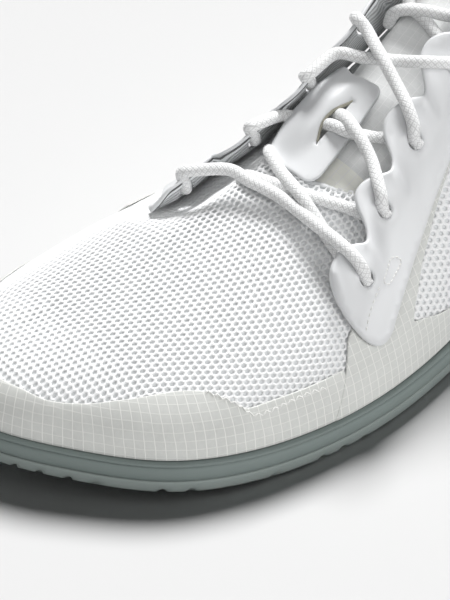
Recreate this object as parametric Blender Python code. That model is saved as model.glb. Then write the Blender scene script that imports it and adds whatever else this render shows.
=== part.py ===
"""Left low-cut barefoot shoe as separate sub-parts.

Metres, +Z up, toe towards -Y, heel towards +Y, +X is the outer (little toe) side.
Every size in the tables below is in millimetres; a station t is the distance from the toe tip.
The upper, its films, the tongue and the eyestays all come from one last surface:
surface(side, w, v), where w runs along the feather line from toe (0) to heel (1) and
v runs up the side from the feather line (0) to the ridge or collar (1).
"""
import math

import bmesh
import bpy
import numpy as np
from mathutils import Vector

MM = 0.001
OUTER, INNER = 0, 1

# Driving sizes (mm)
LENGTH = 284.0
CENTRE_X = 0.245                # middle of the whole shoe, across
CENTRE_T = 142.03               # and along
STATIONS = 40
SIDE_RIBS = 3

TREAD_DEPTH = 1.6
TREAD_EDGE = 6.0
TREAD_COLUMNS = 4
LUG_BEVEL = 1.2
OUTSOLE_TOP = 4.2
SEAT_GAP = 0.3
RIM_TOP = 10.7
FLOOR_TOP = 6.9
FEATHER_Z = FLOOR_TOP + SEAT_GAP
FEATHER_INSET = 2.6
INSOLE_THICK = 3.0
TOE_SPRING = 7.0
TOE_SPRING_FROM = 85.0
HEEL_SPRING = 2.0
HEEL_SPRING_FROM = 262.0
ARCH_RISE = 0.9
ARCH_FROM, ARCH_TO = 148.0, 212.0

WALL = 1.8
FILM_LOW, FILM_HIGH = 0.5, 1.0
STAY_LOW, STAY_THICK = 1.4, 1.0
TONGUE_TOP = -3.1
TONGUE_THICK = 2.4
HOLE_RADIUS = 2.3
CORD_RADIUS = 1.85
TAB_THICK = 1.1

# Plan of the sole: distance to each side of the centre line at each station.
# station, outer side, inner side
SOLE_PLAN = [
    (14, 14, -48), (30, 33, -52.5), (50, 45, -54), (74, 52, -53.2), (100, 54.5, -49.5),
    (128, 52, -42), (160, 46, -33.5), (192, 40, -29.5), (222, 36.5, -31),
    (246, 34.7, -33.5), (267, 29, -29), (280, 16.5, -16.5),
]
# The blunt, oblique toe end between the first two stations: across, station
TOE_END = [(-8, 1.6), (-24, 0.0), (-38, 4.0)]

# Sections of the last, toe to heel, as each side's own table.
# w: place along the feather line; top_x, top_t, top_z: where the section ends, on the
# ridge or the collar; rise and lean: how it leaves the sole; reach and tilt (degrees):
# how it arrives at its top; open: the part of its height at which the throat is cut.
#   w, top_x, top_t, top_z, rise, lean, reach, tilt, open
OUTER_SECTIONS = [
    (0.00, -20, 34, 36.5, 22, 0.10, 12, 0, 1.00),
    (0.10, -17, 42, 38.5, 22, 0.10, 18, 0, 1.00),
    (0.20, -12, 56, 42.0, 22, 0.12, 26, 0, 1.00),
    (0.28, -8, 72, 46.0, 21, 0.12, 32, 0, 1.00),
    (0.36, -5, 90, 51.0, 20, 0.10, 36, 0, 1.00),
    (0.44, -3, 110, 58.5, 20, 0.05, 38, 0, 1.00),
    (0.50, -2, 127, 67.0, 22, 0.00, 38, 0, 0.86),
    (0.56, -1, 146, 79.0, 24, -0.03, 36, 0, 0.80),
    (0.62, 0, 166, 92.0, 26, -0.05, 32, 2, 0.79),
    (0.66, 2, 180, 101.0, 28, -0.05, 28, 14, 0.79),
    (0.70, 13, 192, 98.0, 28, -0.05, 22, 42, 0.90),
    (0.76, 23.5, 210, 83.0, 26, -0.03, 18, 70, 1.00),
    (0.84, 27, 238, 69.0, 24, 0.02, 16, 82, 1.00),
    (0.92, 21.5, 259, 71.0, 24, 0.06, 16, 85, 1.00),
    (0.965, 13, 272, 78.0, 25, 0.10, 17, 86, 1.00),
    (1.00, 0, 277, 82.0, 26, 0.12, 18, 86, 1.00),
]
INNER_SECTIONS = [
    (0.00, -20, 34, 36.5, 22, 0.10, 12, 0, 1.00),
    (0.08, -17, 42, 38.5, 23, 0.10, 14, 0, 1.00),
    (0.18, -12, 56, 42.0, 23, 0.10, 18, 0, 1.00),
    (0.27, -8, 72, 46.0, 23, 0.08, 22, 0, 1.00),
    (0.35, -5, 90, 51.0, 24, 0.05, 24, 0, 1.00),
    (0.43, -3, 110, 58.5, 26, 0.00, 24, 0, 1.00),
    (0.49, -2, 127, 67.0, 28, -0.03, 24, 0, 0.86),
    (0.55, -1, 146, 79.0, 30, -0.05, 22, 0, 0.78),
    (0.61, 0, 166, 92.0, 32, -0.08, 21, 2, 0.76),
    (0.66, 2, 180, 101.0, 32, -0.09, 21, 14, 0.76),
    (0.70, -11, 192, 98.0, 30, -0.08, 20, 42, 0.90),
    (0.76, -21.5, 210, 83.0, 28, -0.05, 18, 70, 1.00),
    (0.84, -25, 238, 70.0, 25, 0.02, 16, 82, 1.00),
    (0.92, -20.5, 259, 72.0, 24, 0.06, 16, 85, 1.00),
    (0.965, -13, 272, 78.0, 25, 0.10, 17, 86, 1.00),
    (1.00, 0, 277, 82.0, 26, 0.12, 18, 86, 1.00),
]
THROAT_ROW = 5
COLLAR_ROW = 10

# Lobes of the eyestays: each starts at a notch and is pierced by one lace hole.
# notch_w, notch_v, hole_w, hole_v, bulge (v above the notch line)
OUTER_LOBES = [
    (0.368, 0.500, 0.407, 0.528, 0.085),
    (0.425, 0.620, 0.459, 0.652, 0.080),
    (0.486, 0.722, 0.519, 0.722, 0.085),
    (0.545, 0.784, 0.582, 0.763, 0.080),
    (0.604, 0.805, 0.633, 0.775, 0.060),
]
INNER_LOBES = [
    (0.290, 0.750, 0.340, 0.690, 0.070),
    (0.385, 0.785, 0.425, 0.740, 0.070),
    (0.455, 0.825, 0.495, 0.775, 0.060),
    (0.520, 0.850, 0.555, 0.800, 0.055),
    (0.580, 0.855, 0.612, 0.805, 0.050),
]
STAY_END = {OUTER: (0.665, 0.815), INNER: (0.665, 0.830)}
# Lower edge of the eyestays: w, v
OUTER_STAY_FOOT = [
    (0.368, 0.490), (0.374, 0.390), (0.384, 0.325), (0.395, 0.298), (0.406, 0.312),
    (0.418, 0.351), (0.455, 0.455), (0.505, 0.552), (0.560, 0.630), (0.620, 0.680), (0.665, 0.720),
]
INNER_STAY_FOOT = [
    (0.290, 0.740), (0.305, 0.610), (0.330, 0.520), (0.365, 0.490), (0.420, 0.530),
    (0.505, 0.600), (0.560, 0.640), (0.620, 0.680), (0.665, 0.720),
]
# The eyestay's height above the upper grows towards its lobes: where the cords pass under it.
STAY_LIFT = {OUTER: 4.2, INNER: 6.0}
STAY_RAMP = {OUTER: 0.012, INNER: 0.050}

# Films bonded over the upper: upper edge along the shoe.
# w, v
TOE_GUARD_OUTER = [
    (0.000, 0.400), (0.050, 0.365), (0.085, 0.322), (0.112, 0.334), (0.151, 0.378),
    (0.200, 0.411), (0.224, 0.392), (0.240, 0.340), (0.257, 0.275), (0.282, 0.281),
    (0.334, 0.280),
]
TOE_GUARD_INNER = [
    (0.000, 0.400), (0.050, 0.430), (0.110, 0.430), (0.180, 0.380), (0.240, 0.270), (0.300, 0.255),
]
PANEL_OUTER = [
    (0.338, 0.330), (0.374, 0.400), (0.395, 0.290), (0.442, 0.258),
    (0.486, 0.200), (0.560, 0.180), (0.650, 0.230), (0.740, 0.330),
]
PANEL_INNER = [
    (0.304, 0.300), (0.336, 0.360), (0.380, 0.300), (0.450, 0.250),
    (0.520, 0.200), (0.600, 0.200), (0.740, 0.330),
]
COUNTER_EDGE = [
    (0.752, 0.340), (0.800, 0.470), (0.850, 0.600), (0.910, 0.720), (0.960, 0.780), (1.000, 0.800),
]
GUARD_END = {OUTER: 0.334, INNER: 0.300}
PANEL_LEAN = {OUTER: 0.036, INNER: 0.030}
PANEL_END = 0.748
COUNTER_START = 0.753
FILM_FOOT = 0.085

# The tongue's free end, as steps from the last throat section: along, up, then the share
# of its arch and of its width that each step keeps.
TONGUE_TIP = [
    (4.5, 3.6, 0.85, 1.00), (8.5, 7.6, 0.70, 0.98), (11.5, 11.4, 0.58, 0.92), (13.0, 14.0, 0.50, 0.78),
]
TONGUE_HALF = {OUTER: 22.0, INNER: 20.0}
TONGUE_NARROWING = 0.30
TONGUE_FROM = 13 / SIDE_RIBS

# Lace keeper: stations of the ridge (mm), its edges across, and its slit
TAB_FROM, TAB_TO = 108.5, 137.0
TAB_INNER, TAB_OUTER = -4.5, 13.5
TAB_STEPS = 9
TAB_LOW = 0.45
TAB_OVER = 4.8
TAB_BULGE = [0.0, 0.0, 1.0, 1.0, 1.0, 1.0, 1.0, 0.0, 0.0]
TAB_SLIT_AT = 2.5
TAB_SLIT_WIDTH = 5.4

# Routes of the cord over the last: side, w, v, what it lies on, extra height.
CORD_ROUTES = {
    "lace_front": [
        [(OUTER, 0.410, 0.570, "stay", 0.0), (OUTER, 0.412, 0.640, "stay", 0.0),
         (OUTER, 0.410, 0.722, "upper", 3.4), (OUTER, 0.406, 0.789, "upper", 1.6),
         (OUTER, 0.399, 0.860, "upper", 1.0), (OUTER, 0.396, 0.933, "upper", 0.9),
         (INNER, 0.388, 0.985, "upper", 1.6), (INNER, 0.372, 0.915, "upper", 5.4),
         (INNER, 0.358, 0.840, "stay", 0.2), (INNER, 0.347, 0.770, "stay", 0.0)],
        [(OUTER, 0.399, 0.650, "upper", 0.0), (OUTER, 0.407, 0.705, "upper", 0.2),
         (OUTER, 0.413, 0.775, "upper", 0.6), (OUTER, 0.415, 0.860, "upper", 0.1),
         (OUTER, 0.417, 0.930, "upper", 0.2), (INNER, 0.412, 0.980, "upper", 0.2),
         (INNER, 0.413, 0.900, "upper", 0.2), (INNER, 0.415, 0.840, "upper", 0.4)],
        [(INNER, 0.366, 0.860, "upper", 0.3), (INNER, 0.378, 0.940, "upper", 0.3),
         (OUTER, 0.404, 0.985, "upper", 0.2), (OUTER, 0.409, 0.940, "upper", 0.2),
         (OUTER, 0.416, 0.896, "upper", 2.9), (OUTER, 0.423, 0.846, "upper", 1.2),
         (OUTER, 0.431, 0.789, "upper", 0.2), (OUTER, 0.441, 0.735, "upper", 0.2)],
    ],
    "lace_keeper": [
        [(OUTER, 0.456, 0.690, "stay", 0.0), (OUTER, 0.463, 0.735, "stay", 0.0),
         (OUTER, 0.475, 0.785, "upper", 4.6), (OUTER, 0.486, 0.843, "strip", 0.9),
         (OUTER, 0.496, 0.895, "strip", 0.6), (OUTER, 0.499, 0.932, "strip", 0.9),
         (OUTER, 0.499, 0.970, "upper", 0.1), (INNER, 0.490, 0.980, "upper", 0.0),
         (INNER, 0.495, 0.915, "upper", 0.0), (INNER, 0.500, 0.870, "upper", 0.0)],
        [(INNER, 0.429, 0.790, "stay", 2.0), (INNER, 0.435, 0.840, "upper", 11.0),
         (INNER, 0.443, 0.885, "upper", 6.6), (INNER, 0.453, 0.920, "upper", 0.9),
         (INNER, 0.463, 0.960, "upper", 0.1),
         (INNER, 0.472, 0.992, "upper", 0.0), (OUTER, 0.490, 0.968, "upper", 0.1),
         (OUTER, 0.493, 0.935, "strip", 0.1), (OUTER, 0.495, 0.895, "strip", 0.2),
         (OUTER, 0.499, 0.860, "upper", 0.9), (OUTER, 0.503, 0.830, "upper", 0.2)],
    ],
    "lace_top": [
        [(OUTER, 0.521, 0.765, "stay", 0.2), (OUTER, 0.526, 0.805, "stay", 0.2),
         (OUTER, 0.537, 0.870, "upper", 5.6), (OUTER, 0.550, 0.943, "upper", 3.4),
         (INNER, 0.548, 0.990, "upper", 3.8), (INNER, 0.552, 0.935, "upper", 8.4),
         (INNER, 0.554, 0.860, "stay", 1.3)],
        [(INNER, 0.499, 0.830, "stay", 0.3), (INNER, 0.508, 0.900, "upper", 8.4),
         (INNER, 0.520, 0.970, "upper", 4.2), (OUTER, 0.545, 0.948, "upper", 0.6),
         (OUTER, 0.556, 0.890, "upper", 3.4), (OUTER, 0.566, 0.862, "upper", 7.4),
         (OUTER, 0.578, 0.820, "stay", 0.6)],
    ],
    "lace_last": [
        [(OUTER, 0.590, 0.840, "tongue", 0.1), (OUTER, 0.596, 0.920, "tongue", 0.1),
         (INNER, 0.590, 0.975, "tongue", 0.1), (INNER, 0.598, 0.885, "tongue", 0.1)],
        [(INNER, 0.570, 0.880, "tongue", 0.1), (INNER, 0.580, 0.965, "tongue", 1.9),
         (OUTER, 0.602, 0.940, "tongue", 2.1), (OUTER, 0.612, 0.855, "tongue", 0.1)],
    ],
}

COLOURS = {
    "rubber": ((0.33, 0.38, 0.36), 0.62),
    "mesh": ((0.84, 0.84, 0.83), 0.85),
    "film": ((0.78, 0.79, 0.80), 0.42),
    "ripstop": ((0.74, 0.74, 0.71), 0.55),
    "cord": ((0.86, 0.86, 0.86), 0.80),
    "binding": ((0.80, 0.80, 0.79), 0.80),
    "foam": ((0.30, 0.31, 0.31), 0.90),
}


# Curves
def closed_spline(points, count=1200):
    """Smooth closed curve through the points, as `count` points in order."""
    knots = np.array(points, float)
    total = len(knots)
    span = np.linalg.norm(np.roll(knots, -1, 0) - knots, axis=1) ** 0.5
    start = np.concatenate([[0], np.cumsum(span)])
    matrix = np.zeros((total, total))
    right = np.zeros((total, 2))
    for i in range(total):
        before, after = span[i - 1], span[i]
        matrix[i, i - 1] += after
        matrix[i, i] += 2 * (before + after)
        matrix[i, (i + 1) % total] += before
        ahead = knots[(i + 1) % total] - knots[i]
        right[i] = 3 * (after * (knots[i] - knots[i - 1]) / before + before * ahead / after)
    slope = np.linalg.solve(matrix, right)
    place = np.linspace(0, start[-1], count, endpoint=False)
    i = np.clip(np.searchsorted(start, place, side="right") - 1, 0, total - 1)
    f = ((place - start[i]) / span[i])[:, None]
    j = (i + 1) % total
    h = span[i][:, None]
    return ((2 * f**3 - 3 * f**2 + 1) * knots[i] + (f**3 - 2 * f**2 + f) * slope[i] * h
            + (3 * f**2 - 2 * f**3) * knots[j] + (f**3 - f**2) * slope[j] * h)


def monotone(xs, ys, at):
    """Value of the smooth, never overshooting curve through (xs, ys)."""
    xs = np.asarray(xs, float)
    ys = np.asarray(ys, float)
    span = np.diff(xs)
    rate = np.diff(ys) / span
    slope = np.zeros(len(xs))
    slope[0], slope[-1] = rate[0], rate[-1]
    for i in range(1, len(xs) - 1):
        if rate[i - 1] * rate[i] > 0:
            a, b = 2 * span[i] + span[i - 1], span[i] + 2 * span[i - 1]
            slope[i] = (a + b) / (a / rate[i - 1] + b / rate[i])
    at = np.clip(at, xs[0], xs[-1])
    i = np.clip(np.searchsorted(xs, at, side="right") - 1, 0, len(xs) - 2)
    f = (at - xs[i]) / span[i]
    return ((2 * f**3 - 3 * f**2 + 1) * ys[i] + (f**3 - 2 * f**2 + f) * slope[i] * span[i]
            + (3 * f**2 - 2 * f**3) * ys[i + 1] + (f**3 - f**2) * slope[i + 1] * span[i])


def edge(table, w):
    """Height v of an edge table (w, v) at w."""
    columns = np.array(table, float)
    return monotone(columns[:, 0], columns[:, 1], w)


def along(line, w):
    """Points at the fractions w of a polyline's length."""
    step = np.concatenate([[0], np.cumsum(np.linalg.norm(np.diff(line, axis=0), axis=1))])
    step /= step[-1]
    return np.stack([np.interp(w, step, line[:, 0]), np.interp(w, step, line[:, 1])], -1)


# Sole plan
def sole_outline():
    points = [(0, LENGTH)]
    points += [(outer, station) for station, outer, inner in reversed(SOLE_PLAN)]
    points += TOE_END
    points += [(inner, station) for station, outer, inner in SOLE_PLAN]
    return closed_spline(points)


def inset(loop, distance):
    """The loop moved inwards by a distance."""
    ahead = np.roll(loop, -1, 0) - np.roll(loop, 1, 0)
    ahead /= np.linalg.norm(ahead, axis=1)[:, None]
    return loop + distance * np.stack([ahead[:, 1], -ahead[:, 0]], 1)


def halves(loop):
    """Both sides of a closed loop, each from toe tip to heel."""
    tip = int(np.argmin(loop[:, 1]))
    return loop[:tip + 1][::-1], np.concatenate([loop[tip:], loop[:1]])


def spring(t):
    """Rise of the sole off the ground at a station: toe, arch and heel."""
    t = np.asarray(t, float)
    toe = TOE_SPRING * np.clip(1 - t / TOE_SPRING_FROM, 0, None) ** 2
    heel = HEEL_SPRING * np.clip((t - HEEL_SPRING_FROM) / (LENGTH - HEEL_SPRING_FROM), 0, None) ** 2
    middle = np.clip((t - ARCH_FROM) / (ARCH_TO - ARCH_FROM), 0, 1)
    return toe + heel + ARCH_RISE * np.sin(np.pi * middle) ** 2


OUTLINE = sole_outline()
FEATHER = halves(inset(OUTLINE, FEATHER_INSET))


# Last surface
def section(side, w):
    columns = np.array((OUTER_SECTIONS, INNER_SECTIONS)[side], float)
    return [monotone(columns[:, 0], columns[:, k], w) for k in range(1, 9)]


def surface(side, w, v):
    """Points of the last's outside (mm: across, station, height)."""
    w, v = np.broadcast_arrays(np.asarray(w, float), np.asarray(v, float))
    plan = along(FEATHER[side], w)
    foot = np.concatenate([plan, (FEATHER_Z + spring(plan[..., 1]))[..., None]], -1)
    values = section(side, w)
    top = np.stack(values[:3], -1)
    rise, lean, reach, tilt = values[3:7]
    before = section(side, np.clip(w - 0.02, 0, 1))
    after = section(side, np.clip(w + 0.02, 0, 1))
    across = top[..., :2] - plan
    across /= np.linalg.norm(across, axis=-1, keepdims=True)
    run = np.maximum(np.abs(after[1] - before[1]), 1e-3)
    ridge = np.clip((after[2] - before[2]) / run, 0, 1.0) * np.clip(1 - tilt / 40, 0, 1)
    angle = np.radians(tilt)
    up = np.sin(angle) + ridge * across[..., 1] * np.cos(angle)
    arrive = np.concatenate([across * np.cos(angle)[..., None], up[..., None]], -1)
    leave = np.concatenate([-across * lean[..., None], np.ones_like(lean)[..., None]], -1)
    low = foot + leave * rise[..., None]
    high = top - arrive * reach[..., None]
    v = v[..., None]
    return (1 - v)**3 * foot + 3 * (1 - v)**2 * v * low + 3 * (1 - v) * v**2 * high + v**3 * top


def surface_normal(side, w, v):
    step = 2e-3
    w, v = np.broadcast_arrays(np.asarray(w, float), np.asarray(v, float))
    forward = surface(side, np.clip(w + step, 0, 1), v) - surface(side, np.clip(w - step, 0, 1), v)
    upward = surface(side, w, np.clip(v + step, 0, 1)) - surface(side, w, np.clip(v - step, 0, 1))
    normal = np.cross(forward, upward) if side == OUTER else np.cross(upward, forward)
    return normal / np.linalg.norm(normal, axis=-1, keepdims=True)


def skin(side, w, v, height):
    """Points at a height above the last's surface."""
    w, v = np.broadcast_arrays(np.asarray(w, float), np.asarray(v, float))
    return surface(side, w, v) + surface_normal(side, w, v) * np.asarray(height, float)[..., None]


def section_place(side, row):
    """Place w of a section's row number, which may be fractional."""
    places = np.array((OUTER_SECTIONS, INNER_SECTIONS)[side], float)[:, 0]
    return np.interp(row, np.arange(len(places)), places)


# Meshes
def to_world(points):
    """Millimetres (across, station, height) to metres in the row's frame."""
    points = np.asarray(points, float)
    return np.stack([points[..., 0] - CENTRE_X, points[..., 1] - CENTRE_T, points[..., 2]], -1) * MM


def material(name):
    found = bpy.data.materials.get(name)
    if found:
        return found
    colour, roughness = COLOURS[name]
    made = bpy.data.materials.new(name)
    made.use_nodes = True
    shader = made.node_tree.nodes["Principled BSDF"]
    shader.inputs["Base Color"].default_value = (*colour, 1.0)
    shader.inputs["Roughness"].default_value = roughness
    shader.inputs["Metallic"].default_value = 0.0
    made.diffuse_color = (*colour, 1.0)
    return made


def finish(name, mesh_data, look):
    """Weld, orient and link a mesh as one named object."""
    bmesh.ops.remove_doubles(mesh_data, verts=mesh_data.verts, dist=1e-6)
    bmesh.ops.dissolve_degenerate(mesh_data, dist=1e-7, edges=mesh_data.edges)
    bmesh.ops.recalc_face_normals(mesh_data, faces=mesh_data.faces)
    mesh = bpy.data.meshes.new(name)
    mesh_data.to_mesh(mesh)
    mesh_data.free()
    mesh.materials.append(material(look))
    made = bpy.data.objects.new(name, mesh)
    bpy.context.scene.collection.objects.link(made)
    return made


def grid_solid(outside, inside):
    """Closed sheet between two grids of points [along][up]."""
    outside, inside = to_world(outside), to_world(inside)
    rows, columns = outside.shape[:2]
    mesh_data = bmesh.new()
    out = [[mesh_data.verts.new(p) for p in line] for line in outside]
    into = [[mesh_data.verts.new(p) for p in line] for line in inside]
    for i in range(rows - 1):
        n = i + 1
        for j in range(columns - 1):
            mesh_data.faces.new((out[i][j], out[n][j], out[n][j + 1], out[i][j + 1]))
            mesh_data.faces.new((into[i][j], into[i][j + 1], into[n][j + 1], into[n][j]))
        for j in (0, columns - 1):
            quad = (out[i][j], into[i][j], into[n][j], out[n][j])
            mesh_data.faces.new(quad if j == 0 else quad[::-1])
    for i in (0, rows - 1):
        for j in range(columns - 1):
            quad = (out[i][j], out[i][j + 1], into[i][j + 1], into[i][j])
            mesh_data.faces.new(quad if i == 0 else quad[::-1])
    return mesh_data


def sole_ring(distance, height):
    """Ring of the sole's plan with its rungs straight across, at a height over the spring."""
    outer, inner = halves(inset(OUTLINE, distance))
    start = outer[0, 1]
    end = min(outer[-1, 1], inner[-1, 1])
    share = (1 - np.cos(np.pi * np.arange(STATIONS + 1) / STATIONS)) / 2
    places = start + (end - start) * share
    sides = []
    for line in (outer, inner):
        order = np.argsort(line[:, 1])
        across = np.interp(places, line[order, 1], line[order, 0])
        across[0] = line[0, 0]
        across[-1] = line[-1, 0]
        sides.append(np.stack([across, places, height + spring(places)], -1))
    return sides


def sole_solid(profile):
    """Loft of rings (inset, height), closed below and above with straight rungs."""
    mesh_data = bmesh.new()
    rings = []
    for distance, height in profile:
        outer, inner = sole_ring(distance, height)
        points = to_world(np.concatenate([outer, inner[-2:0:-1]]))
        rings.append([mesh_data.verts.new(p) for p in points])
    count = len(rings[0])
    for low, high in zip(rings, rings[1:]):
        for i in range(count):
            n = (i + 1) % count
            mesh_data.faces.new((low[i], low[n], high[n], high[i]))
    caps = []
    for ring in (rings[0], rings[-1]):
        cap = []
        for i in range(STATIONS):
            a, b = ring[i], ring[i + 1]
            c, d = ring[(count - i - 1) % count], ring[(count - i) % count]
            corners = [a, b, c, d]
            if i == 0:
                corners = [a, b, c]
            if i == STATIONS - 1:
                corners = [a, b, d]
            cap.append(mesh_data.faces.new(corners))
        caps.append(cap)
    return mesh_data, caps


# Sole pieces
def make_outsole():
    """Lower band and tread: a flat rim, and rows of bevelled lugs inside it."""
    profile = [
        (TREAD_EDGE + 0.8, TREAD_DEPTH), (TREAD_EDGE, 0.0), (0.95, 0.0), (0.6, 0.5),
        (0.6, OUTSOLE_TOP),
    ]
    mesh_data, caps = sole_solid(profile)
    bmesh.ops.recalc_face_normals(mesh_data, faces=mesh_data.faces)
    rungs = [f for f in caps[0][2:-2]]
    edges = set()
    for face in rungs:
        for item in face.edges:
            a, b = item.verts
            if abs(a.co.y - b.co.y) < 1e-6:
                edges.add(item)
    keep = set(mesh_data.faces) - set(rungs)
    bmesh.ops.subdivide_edges(mesh_data, edges=list(edges), cuts=TREAD_COLUMNS - 1, use_grid_fill=True)
    lugs = [f for f in mesh_data.faces if f not in keep]
    bmesh.ops.inset_individual(mesh_data, faces=lugs, thickness=LUG_BEVEL * MM, depth=TREAD_DEPTH * MM)
    return finish("outsole", mesh_data, "rubber")


def make_midsole():
    """Upper band: a thin plate with a rim that cups the upper, and a bead on its edge."""
    low = OUTSOLE_TOP + SEAT_GAP
    profile = [
        (0.7, low), (0.05, low + 1.2), (0.0, low + 3.4), (0.55, low + 5.1), (0.45, RIM_TOP - 0.4),
        (0.9, RIM_TOP), (1.45, RIM_TOP), (2.2, FLOOR_TOP),
    ]
    mesh_data, _ = sole_solid(profile)
    return finish("midsole", mesh_data, "rubber")


def make_insole():
    edge_in = FEATHER_INSET + WALL + 0.7
    low = FEATHER_Z
    profile = [
        (edge_in, low), (edge_in, low + INSOLE_THICK - 0.8), (edge_in + 0.8, low + INSOLE_THICK),
    ]
    mesh_data, _ = sole_solid(profile)
    return finish("insole", mesh_data, "foam")


# Upper
def make_upper():
    """Hollow shell: ribs round the whole feather line, welded along the closed vamp."""
    rows = np.array([0.0, 0.09, 0.20, 0.32, 0.45, 0.59, 0.73, 0.87, 1.0])
    steps = (len(OUTER_SECTIONS) - 1) * SIDE_RIBS
    sections = np.arange(steps + 1) / SIDE_RIBS
    sheets = []
    for height in (0.0, -WALL):
        sides = []
        for side in (OUTER, INNER):
            lines = []
            for number in sections:
                w = section_place(side, number)
                top = section(side, w)[7] if number > THROAT_ROW else 1.0
                lines.append(skin(side, w, rows * top, np.full(len(rows), height)))
            sides.append(np.array(lines))
        for k, number in enumerate(sections):
            if number <= THROAT_ROW:
                middle = (sides[OUTER][k][-1] + sides[INNER][k][-1]) / 2
                sides[OUTER][k][-1] = middle
                sides[INNER][k][-1] = middle
        for k in (0, steps):
            middle = (sides[OUTER][k] + sides[INNER][k]) / 2
            sides[OUTER][k] = middle
            sides[INNER][k] = middle
        sheets.append(np.concatenate([sides[OUTER][::-1], sides[INNER][1:-1]]))
    mesh_data = upper_mesh(sheets[0], sheets[1], steps)
    return finish("upper", mesh_data, "mesh")


def upper_mesh(outside, inside, steps):
    """As grid_solid's ring, but the top edge is walled only round the opening."""
    outside, inside = to_world(outside), to_world(inside)
    rows, columns = outside.shape[:2]
    mesh_data = bmesh.new()
    out = [[mesh_data.verts.new(p) for p in line] for line in outside]
    into = [[mesh_data.verts.new(p) for p in line] for line in inside]
    closed = THROAT_ROW * SIDE_RIBS
    for i in range(rows):
        n = (i + 1) % rows
        for j in range(columns - 1):
            mesh_data.faces.new((out[i][j], out[n][j], out[n][j + 1], out[i][j + 1]))
            mesh_data.faces.new((into[i][j], into[i][j + 1], into[n][j + 1], into[n][j]))
        mesh_data.faces.new((out[i][0], into[i][0], into[n][0], out[n][0]))
        from_toe = min(abs(i - steps), abs(i + 1 - steps))
        if from_toe >= closed:
            mesh_data.faces.new((out[i][-1], out[n][-1], into[n][-1], into[i][-1]))
    return mesh_data


def ribs_between(side, start, end):
    """Places of the upper's own ribs between two w, with both ends."""
    steps = (len(OUTER_SECTIONS) - 1) * SIDE_RIBS
    ribs = [section_place(side, k / SIDE_RIBS) for k in range(steps + 1)]
    return [start] + [w for w in ribs if start + 0.004 < w < end - 0.004] + [end]


def film_sheets(side, places, edge_table, rows):
    """Outer and inner grid of a bonded film, from above the sole to its edge table."""
    share = np.linspace(0, 1, rows)
    sheets = []
    for height in (FILM_HIGH, FILM_LOW):
        lines = []
        for w in places:
            v = FILM_FOOT + (edge(edge_table, w) - FILM_FOOT) * share
            lines.append(skin(side, w, v, np.full(rows, height)))
        sheets.append(np.array(lines))
    return sheets


def make_toe_guard():
    """Mudguard film round the toe, in one piece from panel to panel."""
    outer = film_sheets(OUTER, ribs_between(OUTER, 0.0, GUARD_END[OUTER]), TOE_GUARD_OUTER, 5)
    inner = film_sheets(INNER, ribs_between(INNER, 0.0, GUARD_END[INNER]), TOE_GUARD_INNER, 5)
    sheets = []
    for first, second in zip(outer, inner):
        middle = (first[0] + second[0]) / 2
        sheets.append(np.concatenate([first[:0:-1], middle[None], second[1:]]))
    return finish("toe_guard", grid_solid(sheets[0], sheets[1]), "ripstop")


def make_side_panel(side):
    """Film over the ball and quarter, behind the mudguard; its front edge leans back."""
    table = (PANEL_OUTER, PANEL_INNER)[side]
    start = GUARD_END[side] + 0.004
    lean = PANEL_LEAN[side]
    rows = 4
    share = np.linspace(0, 1, rows)
    sheets = []
    for height in (FILM_HIGH, FILM_LOW):
        lines = []
        for place in ribs_between(side, start, PANEL_END):
            slant = lean * max(1 - (place - start) / 0.10, 0.0)
            w = place + slant * share
            high = edge(table, place + slant)
            lines.append(skin(side, w, FILM_FOOT + (high - FILM_FOOT) * share, np.full(rows, height)))
        sheets.append(np.array(lines))
    name = "side_panel_outer" if side == OUTER else "side_panel_inner"
    return finish(name, grid_solid(sheets[0], sheets[1]), "ripstop")


def make_counter():
    """Stiff film round the heel."""
    outer = film_sheets(OUTER, ribs_between(OUTER, COUNTER_START, 1.0), COUNTER_EDGE, 4)
    inner = film_sheets(INNER, ribs_between(INNER, COUNTER_START, 1.0), COUNTER_EDGE, 4)
    sheets = []
    for first, second in zip(outer, inner):
        middle = (first[-1] + second[-1]) / 2
        sheets.append(np.concatenate([first[:-1], middle[None], second[-2::-1]]))
    return finish("heel_counter", grid_solid(sheets[0], sheets[1]), "film")


# Eyestays
def stay_front(side, w):
    """Lobed free edge of an eyestay."""
    lobes = (OUTER_LOBES, INNER_LOBES)[side]
    notches = [(lobe[0], lobe[1]) for lobe in lobes] + [STAY_END[side]]
    for k, lobe in enumerate(lobes):
        start, end = notches[k], notches[k + 1]
        if w <= end[0] or k == len(lobes) - 1:
            f = min(max((w - start[0]) / (end[0] - start[0]), 0.0), 1.0)
            line = start[1] + (end[1] - start[1]) * f
            return line + lobe[4] * math.sin(math.pi * f**0.72) ** 0.75
    return notches[-1][1]


def stay_height(side, w, v):
    """Underside of the eyestay above the last: flat at its foot, raised at the lobes."""
    low = float(edge((OUTER_STAY_FOOT, INNER_STAY_FOOT)[side], w))
    high = stay_front(side, w)
    start = low + 0.35 * (high - low)
    f = min(max((v - start) / max(high - start, 1e-3), 0.0), 1.0)
    begin = (OUTER_LOBES, INNER_LOBES)[side][0][0]
    ramp = min((w - begin) / STAY_RAMP[side], 1.0)
    return STAY_LOW + STAY_LIFT[side] * ramp * f * f * (3 - 2 * f)


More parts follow.
